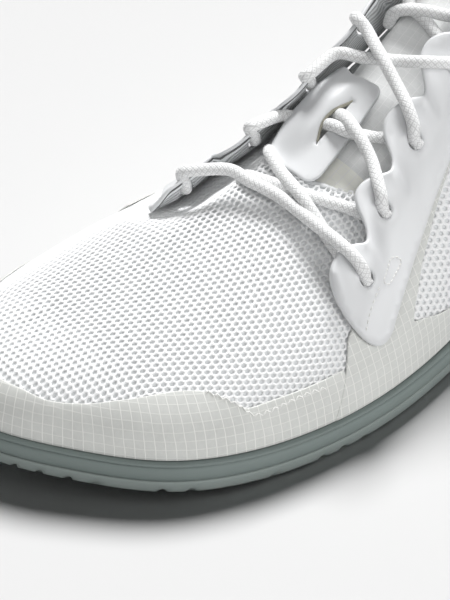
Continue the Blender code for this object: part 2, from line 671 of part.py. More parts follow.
def make_eyestay(side):
    lobes = (OUTER_LOBES, INNER_LOBES)[side]
    foot = (OUTER_STAY_FOOT, INNER_STAY_FOOT)[side]
    start, end = lobes[0][0], STAY_END[side][0]
    places = [start + 0.0015]
    marks = [lobe[0] for lobe in lobes] + [end]
    for a, b in zip(marks, marks[1:]):
        places += [a + (b - a) * f for f in (0.07, 0.22, 0.48, 0.78, 1.0)]
    rows = 4
    share = np.linspace(0, 1, rows)
    sheets = []
    for extra in (STAY_THICK, 0.0):
        lines = []
        for w in places:
            low, high = float(edge(foot, w)), stay_front(side, w)
            v = low + (high - low) * share
            height = np.array([stay_height(side, w, x) for x in v]) + extra
            lines.append(skin(side, w, v, height))
        sheets.append(np.array(lines))
    name = "eyestay_outer" if side == OUTER else "eyestay_inner"
    made = finish(name, grid_solid(sheets[0], sheets[1]), "film")
    for number, lobe in enumerate(lobes):
        centre = skin(side, lobe[2], lobe[3], stay_height(side, lobe[2], lobe[3]) + STAY_THICK / 2)
        drill(made, centre, surface_normal(side, lobe[2], lobe[3]), name + "_drill_" + str(number))
    return made


def drill(target, centre, axis, name):
    """Round lace hole through a film, along its normal."""
    from_axis = np.asarray(axis, float)
    bpy.ops.mesh.primitive_cylinder_add(vertices=12, radius=HOLE_RADIUS * MM, depth=7 * MM)
    cutter = bpy.context.object
    cutter.name = name
    tilt = bpy_vector(from_axis).to_track_quat("Z", "Y")
    cutter.rotation_mode = "QUATERNION"
    cutter.rotation_quaternion = tilt
    cutter.location = to_world(centre)
    bpy.context.view_layer.update()
    cut = target.modifiers.new("hole", "BOOLEAN")
    cut.operation = "DIFFERENCE"
    cut.solver = "EXACT"
    cut.object = cutter
    with bpy.context.temp_override(object=target, active_object=target, selected_objects=[target]):
        bpy.ops.object.modifier_apply(modifier=cut.name)
    bpy.data.objects.remove(cutter, do_unlink=True)


def bpy_vector(values):
    return Vector([float(x) for x in values])


# Tongue and keeper
def dorsal(row, across, height):
    """Point over the instep: at a section row, a distance across from the ridge."""
    side = OUTER if across >= 0 else INNER
    w = section_place(side, row)
    reach = section(side, w)[5]
    v = 1 - abs(across) / (3 * reach)
    return skin(side, w, v, height)


def make_tongue():
    """Thin padded tongue: under the vamp in front, free above the throat."""
    numbers = np.arange(TONGUE_FROM * SIDE_RIBS, 9 * SIDE_RIBS + 1) / SIDE_RIBS
    share = np.linspace(-1, 1, 9)
    sheets = []
    for height in (TONGUE_TOP, TONGUE_TOP - TONGUE_THICK):
        lines = []
        for number in numbers:
            taper = min(0.66 + 0.34 * (number - TONGUE_FROM) / 0.9, 1.0)
            taper *= 1 - TONGUE_NARROWING * max((number - 7.0) / 2.0, 0.0)
            line = []
            for s in share:
                half = TONGUE_HALF[OUTER] if s >= 0 else TONGUE_HALF[INNER]
                line.append(dorsal(number, s * half * taper, height))
            lines.append(line)
        base = np.array(lines[-1])
        centre = base[len(share) // 2]
        for along_step, up, flat, narrow in TONGUE_TIP:
            moved = base.copy()
            moved[:, 0] = centre[0] + (base[:, 0] - centre[0]) * narrow
            moved[:, 1] = base[:, 1] + along_step
            moved[:, 2] = centre[2] + (base[:, 2] - centre[2]) * flat + up
            lines.append(moved)
        sheets.append(np.array(lines))
    return finish("tongue", grid_solid(sheets[0], sheets[1]), "ripstop")


def ridge_row(station):
    tops = np.array(OUTER_SECTIONS, float)[:10, 2]
    return np.interp(station, tops, np.arange(10))


def keeper_height(k, inner_part):
    """Underside of the keeper over the last: its inner part is bulged by the cord."""
    return TAB_LOW + (TAB_OVER * TAB_BULGE[k] if inner_part else 0.0)


def make_keeper():
    """Rectangular film over the tongue with a lengthwise crescent slit for the cord."""
    stations = np.linspace(TAB_FROM, TAB_TO, TAB_STEPS)
    inner_part = [TAB_INNER, -2.0, 0.5, TAB_SLIT_AT]
    outer_part = [TAB_SLIT_AT, 9.5, TAB_OUTER]
    mesh_data = bmesh.new()
    layers = []
    for extra in (TAB_THICK, 0.0):
        columns = []
        for k, station in enumerate(stations):
            narrow = 0.90 if k in (0, TAB_STEPS - 1) else 1.0
            in_slit = 2 <= k <= TAB_STEPS - 3
            gap = TAB_SLIT_WIDTH * math.sin(math.pi * (k - 1) / (TAB_STEPS - 3)) if in_slit else 0.0
            line = [(across * narrow, keeper_height(k, True) + extra) for across in inner_part]
            for across in outer_part:
                shift = gap if across == TAB_SLIT_AT else 0.0
                line.append(((across + shift) * narrow, keeper_height(k, False) + extra))
            row = ridge_row(station)
            columns.append([mesh_data.verts.new(to_world(dorsal(row, a, h))) for a, h in line])
        layers.append(columns)
    top, low = layers
    slit = len(inner_part) - 1
    for k in range(TAB_STEPS - 1):
        for j in range(len(inner_part) + len(outer_part) - 1):
            if j == slit:
                continue
            mesh_data.faces.new((top[k][j], top[k + 1][j], top[k + 1][j + 1], top[k][j + 1]))
            mesh_data.faces.new((low[k][j], low[k][j + 1], low[k + 1][j + 1], low[k + 1][j]))
        if 1 <= k <= TAB_STEPS - 3:
            for j in (slit, slit + 1):
                mesh_data.faces.new((top[k][j], low[k][j], low[k + 1][j], top[k + 1][j]))
        for j in (0, -1):
            mesh_data.faces.new((top[k][j], low[k][j], low[k + 1][j], top[k + 1][j]))
    for k in (0, -1):
        for j in range(len(inner_part) + len(outer_part) - 1):
            if j != slit:
                mesh_data.faces.new((top[k][j], top[k][j + 1], low[k][j + 1], low[k][j]))
    return finish("lace_keeper_tab", mesh_data, "film")


# Collar
def make_collar():
    """Bound edge: a folded tape over the top of the collar, from throat to throat."""
    profile = [
        (0.5, -6.0), (1.6, -6.0), (1.9, -1.5), (0.9, 1.6), (-1.6, 2.2), (-3.8, 0.5),
        (-3.9, -6.0), (-2.4, -6.0), (-2.4, 0.5), (0.5, 0.5),
    ]
    lines = []
    last = len(OUTER_SECTIONS) - 1
    numbers = np.arange(COLLAR_ROW * SIDE_RIBS, last * SIDE_RIBS + 1) / SIDE_RIBS
    for side in (OUTER, INNER):
        part = []
        for number in numbers:
            w = section_place(side, number)
            top = float(section(side, w)[7])
            here = surface(side, w, top)
            up = here - surface(side, w, top - 0.03)
            up /= np.linalg.norm(up)
            out = surface_normal(side, w, top - 0.01)
            part.append([here + out * a + up * b for a, b in profile])
        lines.append(np.array(part))
    middle = (lines[0][-1] + lines[1][-1]) / 2
    path = np.concatenate([lines[0][:-1], middle[None], lines[1][-2::-1]])
    points = to_world(path)
    mesh_data = bmesh.new()
    rings = [[mesh_data.verts.new(p) for p in ring] for ring in points]
    count = len(profile)
    for a, b in zip(rings, rings[1:]):
        for j in range(count):
            n = (j + 1) % count
            mesh_data.faces.new((a[j], a[n], b[n], b[j]))
    mesh_data.faces.new(rings[0])
    mesh_data.faces.new(rings[-1][::-1])
    return finish("collar_binding", mesh_data, "binding")


def make_heel_loop():
    """Pull loop of tape, sewn flat to the back of the collar."""
    width, thick = 11.0, 1.3
    back = surface(OUTER, 1.0, 1.0)
    half = thick + 1.1
    centre_y = back[1] + 2.5 + half
    low, high = back[2] - 12.0, back[2] + 13.0
    outline = []
    for k in range(9):
        angle = math.pi * k / 8
        outline.append((centre_y + half * math.cos(angle), high + half * math.sin(angle)))
    for k in range(9):
        angle = math.pi + math.pi * k / 8
        outline.append((centre_y + half * math.cos(angle), low + half * math.sin(angle)))
    hole = []
    inner_half = half - thick
    for k in range(9):
        angle = math.pi * k / 8
        hole.append((centre_y + inner_half * math.cos(angle), high + inner_half * math.sin(angle)))
    for k in range(9):
        angle = math.pi + math.pi * k / 8
        hole.append((centre_y + inner_half * math.cos(angle), high - 11 + inner_half * math.sin(angle)))
    mesh_data = bmesh.new()
    rings = []
    for points in (outline, hole):
        for x in (-width / 2, width / 2):
            rings.append([mesh_data.verts.new(to_world((x, y, z))) for y, z in points])
    count = len(outline)
    left, right, hole_left, hole_right = rings
    for i in range(count):
        n = (i + 1) % count
        mesh_data.faces.new((left[i], left[n], right[n], right[i]))
        mesh_data.faces.new((hole_left[i], hole_right[i], hole_right[n], hole_left[n]))
        mesh_data.faces.new((left[i], hole_left[i], hole_left[n], left[n]))
        mesh_data.faces.new((right[i], right[n], hole_right[n], hole_right[i]))
    return finish("heel_loop", mesh_data, "binding")


# Laces
def smooth_path(points, steps=2):
    """Catmull-Rom curve through the points."""
    points = np.array(points, float)
    padded = np.concatenate([[2 * points[0] - points[1]], points, [2 * points[-1] - points[-2]]])
    path = []
    for i in range(1, len(padded) - 2):
        a, b, c, d = padded[i - 1:i + 3]
        for k in range(steps):
            f = k / steps
            path.append(0.5 * (2 * b + (c - a) * f + (2 * a - 5 * b + 4 * c - d) * f**2
                               + (3 * b - a - 3 * c + d) * f**3))
    path.append(points[-1])
    return np.array(path)


def cord_mesh(path, radius, sides=6):
    """Closed round tube along a path."""
    ahead = np.gradient(path, axis=0)
    ahead /= np.linalg.norm(ahead, axis=1)[:, None]
    mesh_data = bmesh.new()
    rings = []
    upright = np.array([0.0, 0.0, 1.0])
    for here, way in zip(path, ahead):
        upright = upright - way * upright.dot(way)
        upright /= np.linalg.norm(upright)
        across = np.cross(way, upright)
        ring = []
        for k in range(sides):
            angle = 2 * math.pi * k / sides
            ring.append(here + radius * (math.cos(angle) * upright + math.sin(angle) * across))
        rings.append([mesh_data.verts.new(p) for p in to_world(ring)])
    for a, b in zip(rings, rings[1:]):
        for k in range(sides):
            n = (k + 1) % sides
            mesh_data.faces.new((a[k], a[n], b[n], b[k]))
    mesh_data.faces.new(rings[0])
    mesh_data.faces.new(rings[-1][::-1])
    return mesh_data


def cord_height(side, w, v, layer):
    """Height of a cord's centre over the last when it lies on a layer."""
    under = {"upper": 0.0, "tongue": TONGUE_TOP, "strip": TAB_LOW + TAB_THICK}
    if layer == "stay":
        return stay_height(side, w, v) + STAY_THICK + 2 * SEAT_GAP + CORD_RADIUS
    return under[layer] + SEAT_GAP + CORD_RADIUS


def make_lace(name, routes):
    """Joined crossings of the cord as one solid."""
    cords = []
    for number, route in enumerate(routes):
        points = [skin(side, w, v, cord_height(side, w, v, layer) + extra)
                  for side, w, v, layer, extra in route]
        part = cord_mesh(smooth_path(points), CORD_RADIUS)
        cords.append(finish(name + "_" + str(number), part, "cord"))
    first = cords[0]
    for other in cords[1:]:
        join = first.modifiers.new("join", "BOOLEAN")
        join.operation = "UNION"
        join.solver = "EXACT"
        join.object = other
        with bpy.context.temp_override(object=first, active_object=first, selected_objects=[first]):
            bpy.ops.object.modifier_apply(modifier=join.name)
        bpy.data.objects.remove(other, do_unlink=True)
    first.name = name
    first.data.name = name
    return first


def main():
    for item in list(bpy.data.objects):
        bpy.data.objects.remove(item, do_unlink=True)
    make_outsole()
    make_midsole()
    make_insole()
    make_upper()
    make_tongue()
    make_toe_guard()
    for side in (OUTER, INNER):
        make_side_panel(side)
        make_eyestay(side)
    make_counter()
    make_collar()
    make_heel_loop()
    make_keeper()
    for name, routes in CORD_ROUTES.items():
        make_lace(name, routes)


main()
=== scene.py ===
"""Dresses the left barefoot shoe: smooth films, perforated knit, braided laces, stitching and rubber.

Sizes are in millimetres unless a name ends in _m. A station t is the distance from the toe tip.
The cloth pieces lie on one surface of the last: skin(u, v, height), where u runs along the
sole's edge from the toe (0) to the heel, positive on the outer side and negative on the inner
side, and v runs from the sole's edge (0) to the ridge or the collar (1).
"""
import math

import bmesh
import bpy
import numpy as np
from bpy.props import FloatProperty, FloatVectorProperty, PointerProperty
from mathutils import Matrix, Vector
from mathutils.bvhtree import BVHTree
from mathutils.geometry import delaunay_2d_cdt


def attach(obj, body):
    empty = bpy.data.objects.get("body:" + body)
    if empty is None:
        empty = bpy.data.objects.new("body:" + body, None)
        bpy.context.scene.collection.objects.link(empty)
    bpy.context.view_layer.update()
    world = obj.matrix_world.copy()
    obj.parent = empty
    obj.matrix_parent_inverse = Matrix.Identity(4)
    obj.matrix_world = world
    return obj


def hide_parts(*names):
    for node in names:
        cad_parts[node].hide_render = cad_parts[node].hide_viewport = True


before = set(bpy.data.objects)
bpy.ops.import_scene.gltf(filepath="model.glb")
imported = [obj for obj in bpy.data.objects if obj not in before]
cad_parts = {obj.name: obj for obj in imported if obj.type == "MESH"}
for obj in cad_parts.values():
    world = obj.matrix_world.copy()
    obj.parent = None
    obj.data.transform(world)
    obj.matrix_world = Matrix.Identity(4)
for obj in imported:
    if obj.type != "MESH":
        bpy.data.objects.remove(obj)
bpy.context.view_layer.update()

bl_info = {
    "name": "Barefoot shoe looks",
    "version": (1, 0, 0),
    "blender": (4, 5, 0),
    "location": "3D View > Sidebar > Shoe",
    "description": "Builds the visible pieces and finishes of a low-cut barefoot shoe",
    "category": "Object",
}

MM = 0.001
OUTER, INNER = 0, 1
LENGTH = 284.0
CENTRE_X, CENTRE_T = 0.245, 142.03

# Sizes shared with the solids
FLOOR_TOP = 6.9
FEATHER_Z = 7.2
FEATHER_INSET = 2.6
INSOLE_THICK = 3.0
TREAD_DEPTH = 1.6
WALL = 1.8
LINING_LIFT, KNIT_LIFT = -0.55, 0.12
STAY_LOW = 1.4
TONGUE_TOP, TONGUE_THICK = -3.1, 2.4
TAB_LOW = 0.45
STAY_THICK = 1.0
LACE_HOLES = 5

# station, outer side, inner side
SOLE_PLAN = [
    (14, 14, -48), (30, 33, -52.5), (50, 45, -54), (74, 52, -53.2), (100, 54.5, -49.5),
    (128, 52, -42), (160, 46, -33.5), (192, 40, -29.5), (222, 36.5, -31),
    (246, 34.7, -33.5), (267, 29, -29), (280, 16.5, -16.5),
]
TOE_END = [(-8, 1.6), (-24, 0.0), (-38, 4.0)]

#   w, top_x, top_t, top_z, rise, lean, reach, tilt
OUTER_SECTIONS = [
    (0.00, -20, 34, 36.5, 22, 0.10, 12, 0), (0.10, -17, 42, 38.5, 22, 0.10, 18, 0),
    (0.20, -12, 56, 42.0, 22, 0.12, 26, 0), (0.28, -8, 72, 46.0, 21, 0.12, 32, 0),
    (0.36, -5, 90, 51.0, 20, 0.10, 36, 0), (0.44, -3, 110, 58.5, 20, 0.05, 38, 0),
    (0.50, -2, 127, 67.0, 22, 0.00, 38, 0), (0.56, -1, 146, 79.0, 24, -0.03, 36, 0),
    (0.62, 0, 166, 92.0, 26, -0.05, 32, 2), (0.66, 2, 180, 101.0, 28, -0.05, 28, 14),
    (0.70, 13, 192, 98.0, 28, -0.05, 22, 42), (0.76, 23.5, 210, 83.0, 26, -0.03, 18, 70),
    (0.84, 27, 238, 69.0, 24, 0.02, 16, 82), (0.92, 21.5, 259, 71.0, 24, 0.06, 16, 85),
    (0.965, 13, 272, 78.0, 25, 0.10, 17, 86), (1.00, 0, 277, 82.0, 26, 0.12, 18, 86),
]
INNER_SECTIONS = [
    (0.00, -20, 34, 36.5, 22, 0.10, 12, 0), (0.08, -17, 42, 38.5, 23, 0.10, 14, 0),
    (0.18, -12, 56, 42.0, 23, 0.10, 18, 0), (0.27, -8, 72, 46.0, 23, 0.08, 22, 0),
    (0.35, -5, 90, 51.0, 24, 0.05, 24, 0), (0.43, -3, 110, 58.5, 26, 0.00, 24, 0),
    (0.49, -2, 127, 67.0, 28, -0.03, 24, 0), (0.55, -1, 146, 79.0, 30, -0.05, 22, 0),
    (0.61, 0, 166, 92.0, 32, -0.08, 21, 2), (0.66, 2, 180, 101.0, 32, -0.09, 21, 14),
    (0.70, -11, 192, 98.0, 30, -0.08, 20, 42), (0.76, -21.5, 210, 83.0, 28, -0.05, 18, 70),
    (0.84, -25, 238, 70.0, 25, 0.02, 16, 82), (0.92, -20.5, 259, 72.0, 24, 0.06, 16, 85),
    (0.965, -13, 272, 78.0, 25, 0.10, 17, 86), (1.00, 0, 277, 82.0, 26, 0.12, 18, 86),
]
SECTIONS = tuple(np.array(table, float) for table in (OUTER_SECTIONS, INNER_SECTIONS))
ROWS = len(OUTER_SECTIONS) - 1
RIDGE_ROWS = 10

# Lobes of the eyestays: notch w and v, hole w and v, bulge
OUTER_LOBES = [
    (0.368, 0.500, 0.407, 0.528, 0.085), (0.425, 0.620, 0.459, 0.652, 0.080),
    (0.486, 0.722, 0.519, 0.722, 0.085), (0.545, 0.784, 0.582, 0.763, 0.080),
    (0.604, 0.805, 0.633, 0.775, 0.060),
]
INNER_LOBES = [
    (0.290, 0.750, 0.340, 0.690, 0.070), (0.385, 0.785, 0.425, 0.740, 0.070),
    (0.455, 0.825, 0.495, 0.775, 0.060), (0.520, 0.850, 0.555, 0.800, 0.055),
    (0.580, 0.855, 0.612, 0.805, 0.050),
]
LOBES = OUTER_LOBES, INNER_LOBES
STAY_END = {OUTER: (0.665, 0.815), INNER: (0.665, 0.830)}
OUTER_STAY_FOOT = [
    (0.368, 0.490), (0.374, 0.390), (0.384, 0.325), (0.395, 0.298), (0.406, 0.312),
    (0.418, 0.351), (0.455, 0.455), (0.505, 0.552), (0.560, 0.630), (0.620, 0.680), (0.665, 0.720),
]
INNER_STAY_FOOT = [
    (0.290, 0.740), (0.305, 0.610), (0.330, 0.520), (0.365, 0.490), (0.420, 0.530),
    (0.505, 0.600), (0.560, 0.640), (0.620, 0.680), (0.665, 0.720),
]
STAY_FOOT = OUTER_STAY_FOOT, INNER_STAY_FOOT
OUTER_STAY_OUTLINE = [
    (0.3725, 0.478), (0.3722, 0.538), (0.376, 0.592), (0.382, 0.619), (0.391, 0.637), (0.400, 0.645),
    (0.414, 0.636), (0.424, 0.620), (0.432, 0.650), (0.438, 0.706), (0.446, 0.742), (0.458, 0.752),
    (0.471, 0.742), (0.484, 0.720), (0.492, 0.735), (0.497, 0.768), (0.503, 0.800), (0.513, 0.824),
    (0.525, 0.826), (0.538, 0.809), (0.546, 0.786), (0.552, 0.795), (0.558, 0.822), (0.567, 0.856),
    (0.580, 0.868), (0.592, 0.850), (0.602, 0.815), (0.610, 0.822), (0.618, 0.850), (0.630, 0.866),
    (0.645, 0.860), (0.658, 0.835), (0.668, 0.800), (0.668, 0.735), (0.620, 0.680), (0.560, 0.628),
    (0.534, 0.595), (0.505, 0.552), (0.475, 0.495), (0.455, 0.453), (0.436, 0.404), (0.418, 0.347),
    (0.409, 0.312), (0.400, 0.294), (0.392, 0.293), (0.385, 0.315), (0.379, 0.355), (0.3755, 0.400),
    (0.3735, 0.438),
]
STAY_LIFT = {OUTER: 4.2, INNER: 6.0}
STAY_RAMP = {OUTER: 0.012, INNER: 0.050}

# Upper edges of the bonded films, w and v
TOE_GUARD_OUTER = [
    (0.000, 0.400), (0.050, 0.365), (0.085, 0.322), (0.112, 0.334), (0.151, 0.378),
    (0.200, 0.411), (0.224, 0.392), (0.240, 0.340), (0.257, 0.275), (0.282, 0.281), (0.334, 0.280),
]
TOE_GUARD_INNER = [
    (0.000, 0.400), (0.050, 0.430), (0.110, 0.430), (0.180, 0.380), (0.240, 0.270), (0.300, 0.255),
]
PANEL_OUTER = [
    (0.338, 0.330), (0.374, 0.400), (0.395, 0.290), (0.442, 0.258),
    (0.486, 0.200), (0.560, 0.180), (0.650, 0.230), (0.740, 0.330),
]
PANEL_INNER = [
    (0.304, 0.300), (0.336, 0.360), (0.380, 0.300), (0.450, 0.250),
    (0.520, 0.200), (0.600, 0.200), (0.740, 0.330),
]
TOE_GUARD = TOE_GUARD_OUTER, TOE_GUARD_INNER
PANEL = PANEL_OUTER, PANEL_INNER
COUNTER_EDGE = [
    (0.752, 0.340), (0.800, 0.470), (0.850, 0.600), (0.910, 0.720), (0.960, 0.780), (1.000, 0.800),
]
STAY_STRIP = [
    (0.378, 0.415), (0.400, 0.425), (0.430, 0.465), (0.465, 0.530), (0.500, 0.585), (0.530, 0.625),
    (0.545, 0.600), (0.5125, 0.540), (0.4913, 0.490), (0.4692, 0.429), (0.4590, 0.388),
    (0.4507, 0.354), (0.4424, 0.315),
]
GUARD_END = {OUTER: 0.353, INNER: 0.318}
PANEL_START = {OUTER: 0.334, INNER: 0.300}
PANEL_LEAN = {OUTER: 0.036, INNER: 0.030}
KNIT_FROM_GUARD = (0.376, 0.340)
PANEL_END = 0.748
COUNTER_START = 0.753
FILM_FOOT = 0.060

# Edge of the cloth at the throat and the collar, w and v
THROAT_OUTER = [
    (0.000, 1.000), (0.424, 1.000), (0.431, 0.906), (0.438, 0.849), (0.449, 0.756), (0.470, 0.690),
    (0.520, 0.690), (0.600, 0.730), (0.650, 0.775), (0.675, 0.840), (0.705, 0.945), (0.740, 1.000),
    (1.000, 1.000),
]
THROAT_INNER = [
    (0.000, 1.000), (0.414, 1.000), (0.425, 0.930), (0.437, 0.850), (0.455, 0.780), (0.520, 0.740),
    (0.610, 0.745), (0.650, 0.780), (0.675, 0.845), (0.705, 0.945), (0.740, 1.000), (1.000, 1.000),
]
THROAT = THROAT_OUTER, THROAT_INNER

# Middle lines of the cord as (u, v, height), each with the lobe and the way of its two ends.
CORD_ROUTES = {
    "lace_front": [
        ((OUTER, 0, "over"), (INNER, 0, "over"), [
            (0.4040, 0.575, 8.1), (0.4030, 0.610, 8.5), (0.4017, 0.645, 8.4), (0.4020, 0.684, 6.6),
            (0.3997, 0.732, 6.0), (0.3987, 0.785, 5.2), (0.3990, 0.842, 3.9), (0.3982, 0.893, 3.9),
            (0.3948, 0.938, 4.6), (0.3899, 0.982, 5.6), (-0.3753, 0.962, 7.4)]),
        ((OUTER, 0, "under"), (INNER, 1, "under"), [
            (0.4007, 0.600, 2.2), (0.4010, 0.640, 2.2), (0.4022, 0.675, 2.3), (0.4036, 0.716, 2.3),
            (0.4066, 0.759, 2.8), (0.4080, 0.797, 4.6), (0.4105, 0.836, 5.9), (0.4144, 0.878, 5.0),
            (0.4203, 0.932, 3.2), (0.4271, 0.977, 2.6), (-0.4232, 0.972, 2.2), (-0.4265, 0.935, 0.8),
            (-0.4290, 0.900, -0.8)]),
        ((OUTER, 1, "under"), (INNER, 0, "under"), [
            (0.4447, 0.672, 2.2), (0.4398, 0.713, 2.3), (0.4349, 0.745, 2.4), (0.4281, 0.782, 2.4),
            (0.4235, 0.815, 2.3), (0.4183, 0.849, 2.3), (0.4134, 0.890, 2.3), (0.4085, 0.932, 2.3),
            (0.4036, 0.973, 2.3), (-0.3889, 0.980, 2.2), (-0.3865, 0.958, 0.6),
            (-0.3850, 0.935, -1.6)]),
    ],
    "lace_keeper": [
        ((OUTER, 1, "over"), (INNER, 2, "under"), [
            (0.4590, 0.672, 7.6), (0.4614, 0.688, 8.0), (0.4663, 0.714, 7.9), (0.4741, 0.746, 6.4),
            (0.4812, 0.783, 5.2), (0.4865, 0.822, 5.2), (0.4910, 0.858, 5.4), (0.4956, 0.898, 4.6),
            (0.4990, 0.925, 3.2), (0.5000, 0.950, 0.8), (0.4990, 0.985, -0.7), (-0.4850, 0.960, -0.7),
            (-0.4880, 0.900, 0.5), (-0.4900, 0.850, 0.5)]),
        ((INNER, 1, "over"), (OUTER, 2, "under"), [
            (-0.4574, 0.880, 6.0), (-0.4643, 0.935, 2.8), (-0.4692, 0.976, 0.6), (0.4850, 0.985, 0.4),
            (0.4868, 0.955, 1.2), (0.4878, 0.930, 3.0), (0.4872, 0.905, 3.5), (0.4888, 0.880, 3.3),
            (0.4937, 0.853, 2.4), (0.4985, 0.822, 2.0), (0.5034, 0.798, 1.9)]),
    ],
    "lace_top": [
        ((OUTER, 2, "over"), (INNER, 3, "over"), [
            (0.5210, 0.738, 6.9), (0.5240, 0.755, 7.4), (0.5279, 0.778, 8.0), (0.5322, 0.806, 8.2),
            (0.5370, 0.839, 7.2), (0.5416, 0.871, 7.0), (0.5460, 0.900, 7.8), (0.5514, 0.932, 8.0),
            (0.5580, 0.971, 7.4), (-0.5553, 0.975, 8.0)]),
        ((OUTER, 3, "over"), (INNER, 2, "over"), [
            (0.5790, 0.782, 6.9), (0.5719, 0.806, 8.0), (0.5655, 0.833, 8.2), (0.5597, 0.868, 6.6),
            (0.5553, 0.907, 4.6), (0.5514, 0.947, 3.8), (0.5470, 0.982, 4.2), (-0.5318, 0.975, 6.0),
            (-0.5250, 0.940, 8.0)]),
    ],
    "lace_last": [
        ((OUTER, 3, "under"), (INNER, 4, "under"), [
            (0.590, 0.840, -0.8), (0.596, 0.920, -0.8), (-0.590, 0.975, -0.8), (-0.598, 0.885, -0.8)]),
        ((OUTER, 4, "under"), (INNER, 3, "under"), [
            (0.612, 0.855, -0.8), (0.602, 0.940, 1.2), (-0.580, 0.965, 1.0), (-0.570, 0.880, -0.8)]),
    ],
}


# Sizes and colours a user may change
def length(name, description, default, top=20.0):
    return FloatProperty(name=name, description=description, default=default, min=0.0, max=top)


def colour(name, description, default):
    return FloatVectorProperty(name=name, description=description, default=default,
                               subtype="COLOR", size=3, min=0.0, max=1.0)


class ShoeSizes(bpy.types.PropertyGroup):
    """Sizes of the visible pieces, in millimetres."""
    knit_pitch: length("Knit pitch", "Distance between holes along a row of the knit, mm", 1.78)
    knit_row: length("Knit row", "Distance between rows of the knit, mm", 1.88)
    knit_hole: length("Knit hole", "Share of a knit cell that is open", 0.555, 1.0)
    knit_depth: length("Knit depth", "Depth of the yarn, mm", 0.42)
    cord_radius: length("Cord radius", "Half the thickness of the lace, mm", 1.85)
    hole_radius: length("Lace hole", "Radius of the lace holes, mm", 2.3)
    stitch: length("Stitch", "Length of a stitch, mm", 2.0)
    thread: length("Thread", "Radius of the thread, mm", 0.19)
    lug_pitch: length("Lug pitch", "Distance between lugs of the tread, mm", 7.6)


class ShoeColours(bpy.types.PropertyGroup):
    """Base colours of the finishes."""
    knit: colour("Knit", "Yarn of the vamp and quarters", (0.91, 0.915, 0.92))
    lining: colour("Lining", "Cloth seen through the knit", (0.86, 0.88, 0.89))
    film: colour("Film", "Smooth film of the eyestays and keeper", (0.72, 0.73, 0.74))
    ripstop: colour("Ripstop", "Translucent film with a woven grid", (0.635, 0.645, 0.62))
    tongue: colour("Tongue", "Cloth of the tongue", (0.82, 0.83, 0.825))
    cord: colour("Cord", "Braided lace", (0.90, 0.905, 0.905))
    rubber: colour("Rubber", "Upper band of the sole", (0.20, 0.24, 0.23))
    tread: colour("Tread", "Lower band of the sole and its lugs", (0.27, 0.31, 0.297))
    binding: colour("Binding", "Tape of the collar and the loop", (0.70, 0.70, 0.69))
    foam: colour("Footbed", "Cloth on the insole", (0.20, 0.21, 0.21))


# Small helpers
def ease(share):
    """Smooth step from 0 to 1."""
    share = np.clip(share, 0, 1)
    return share * share * (3 - 2 * share)


def travel(points):
    """Distance along a line of points, from 0 at its first."""
    return np.concatenate([[0], np.cumsum(np.linalg.norm(np.diff(points, axis=0), axis=1))])


def read_line(line, far, at):
    """Points of a line at the distances `at`, its own points lying at the distances `far`."""
    return np.stack([np.interp(at, far, column) for column in line.T], -1)


def unit(vectors):
    """The vectors at length 1."""
    return vectors / np.linalg.norm(vectors, axis=-1, keepdims=True)


def hermite(f, start, end, leave, arrive):
    """Cubic from start to end with the slopes leave and arrive."""
    return ((2 * f**3 - 3 * f**2 + 1) * start + (f**3 - 2 * f**2 + f) * leave
            + (3 * f**2 - 2 * f**3) * end + (f**3 - f**2) * arrive)


def bilinear(table, i, j):
    """Value of a grid at fractional rows and columns."""
    a, b = i.astype(int), j.astype(int)
    f, g = i - a, j - b
    if table.ndim == 3:
        f, g = f[..., None], g[..., None]
    return ((1 - f) * (1 - g) * table[a, b] + f * (1 - g) * table[a + 1, b]
            + (1 - f) * g * table[a, b + 1] + f * g * table[a + 1, b + 1])


def turning(loop):
    """Twice the signed area of a closed loop."""
    ahead = np.roll(loop, -1, 0)
    return np.sum(loop[:, 0] * ahead[:, 1] - loop[:, 1] * ahead[:, 0])


def signed(side, w):
    """Signed place u of a place w on one side."""
    return w if side == OUTER else -w


def word(side):
    return ("outer", "inner")[side]


# The last's surface
def closed_spline(points, count=2400):
    """Smooth closed curve through the points, as `count` points in order."""
    knots = np.array(points, float)
    total = len(knots)
    span = np.linalg.norm(np.roll(knots, -1, 0) - knots, axis=1) ** 0.5
    start = np.concatenate([[0], np.cumsum(span)])
    matrix = np.zeros((total, total))
    right = np.zeros((total, 2))
    for i in range(total):
        before, after = span[i - 1], span[i]
        matrix[i, i - 1] += after
        matrix[i, i] += 2 * (before + after)
        matrix[i, (i + 1) % total] += before
        ahead = knots[(i + 1) % total] - knots[i]
        right[i] = 3 * (after * (knots[i] - knots[i - 1]) / before + before * ahead / after)
    slope = np.linalg.solve(matrix, right)
    place = np.linspace(0, start[-1], count, endpoint=False)
    i = np.clip(np.searchsorted(start, place, side="right") - 1, 0, total - 1)
    f = ((place - start[i]) / span[i])[:, None]
    j = (i + 1) % total
    h = span[i][:, None]
    return hermite(f, knots[i], knots[j], slope[i] * h, slope[j] * h)


def monotone(xs, ys, at):
    """Value of the smooth, never overshooting curve through (xs, ys)."""
    span = np.diff(xs)
    rate = np.diff(ys) / span
    slope = np.zeros(len(xs))
    slope[0], slope[-1] = rate[0], rate[-1]
    for i in range(1, len(xs) - 1):
        if rate[i - 1] * rate[i] > 0:
            a, b = 2 * span[i] + span[i - 1], span[i] + 2 * span[i - 1]
            slope[i] = (a + b) / (a / rate[i - 1] + b / rate[i])
    at = np.clip(at, xs[0], xs[-1])
    i = np.clip(np.searchsorted(xs, at, side="right") - 1, 0, len(xs) - 2)
    f = (at - xs[i]) / span[i]
    return hermite(f, ys[i], ys[i + 1], slope[i] * span[i], slope[i + 1] * span[i])


def edge(table, w):
    """Height v of an edge table (w, v) at w."""
    columns = np.array(table, float)
    return monotone(columns[:, 0], columns[:, 1], w)


def along(line, w):
    """Points at the fractions w of a polyline's length."""
    far = travel(line)
    return read_line(line, far / far[-1], w)


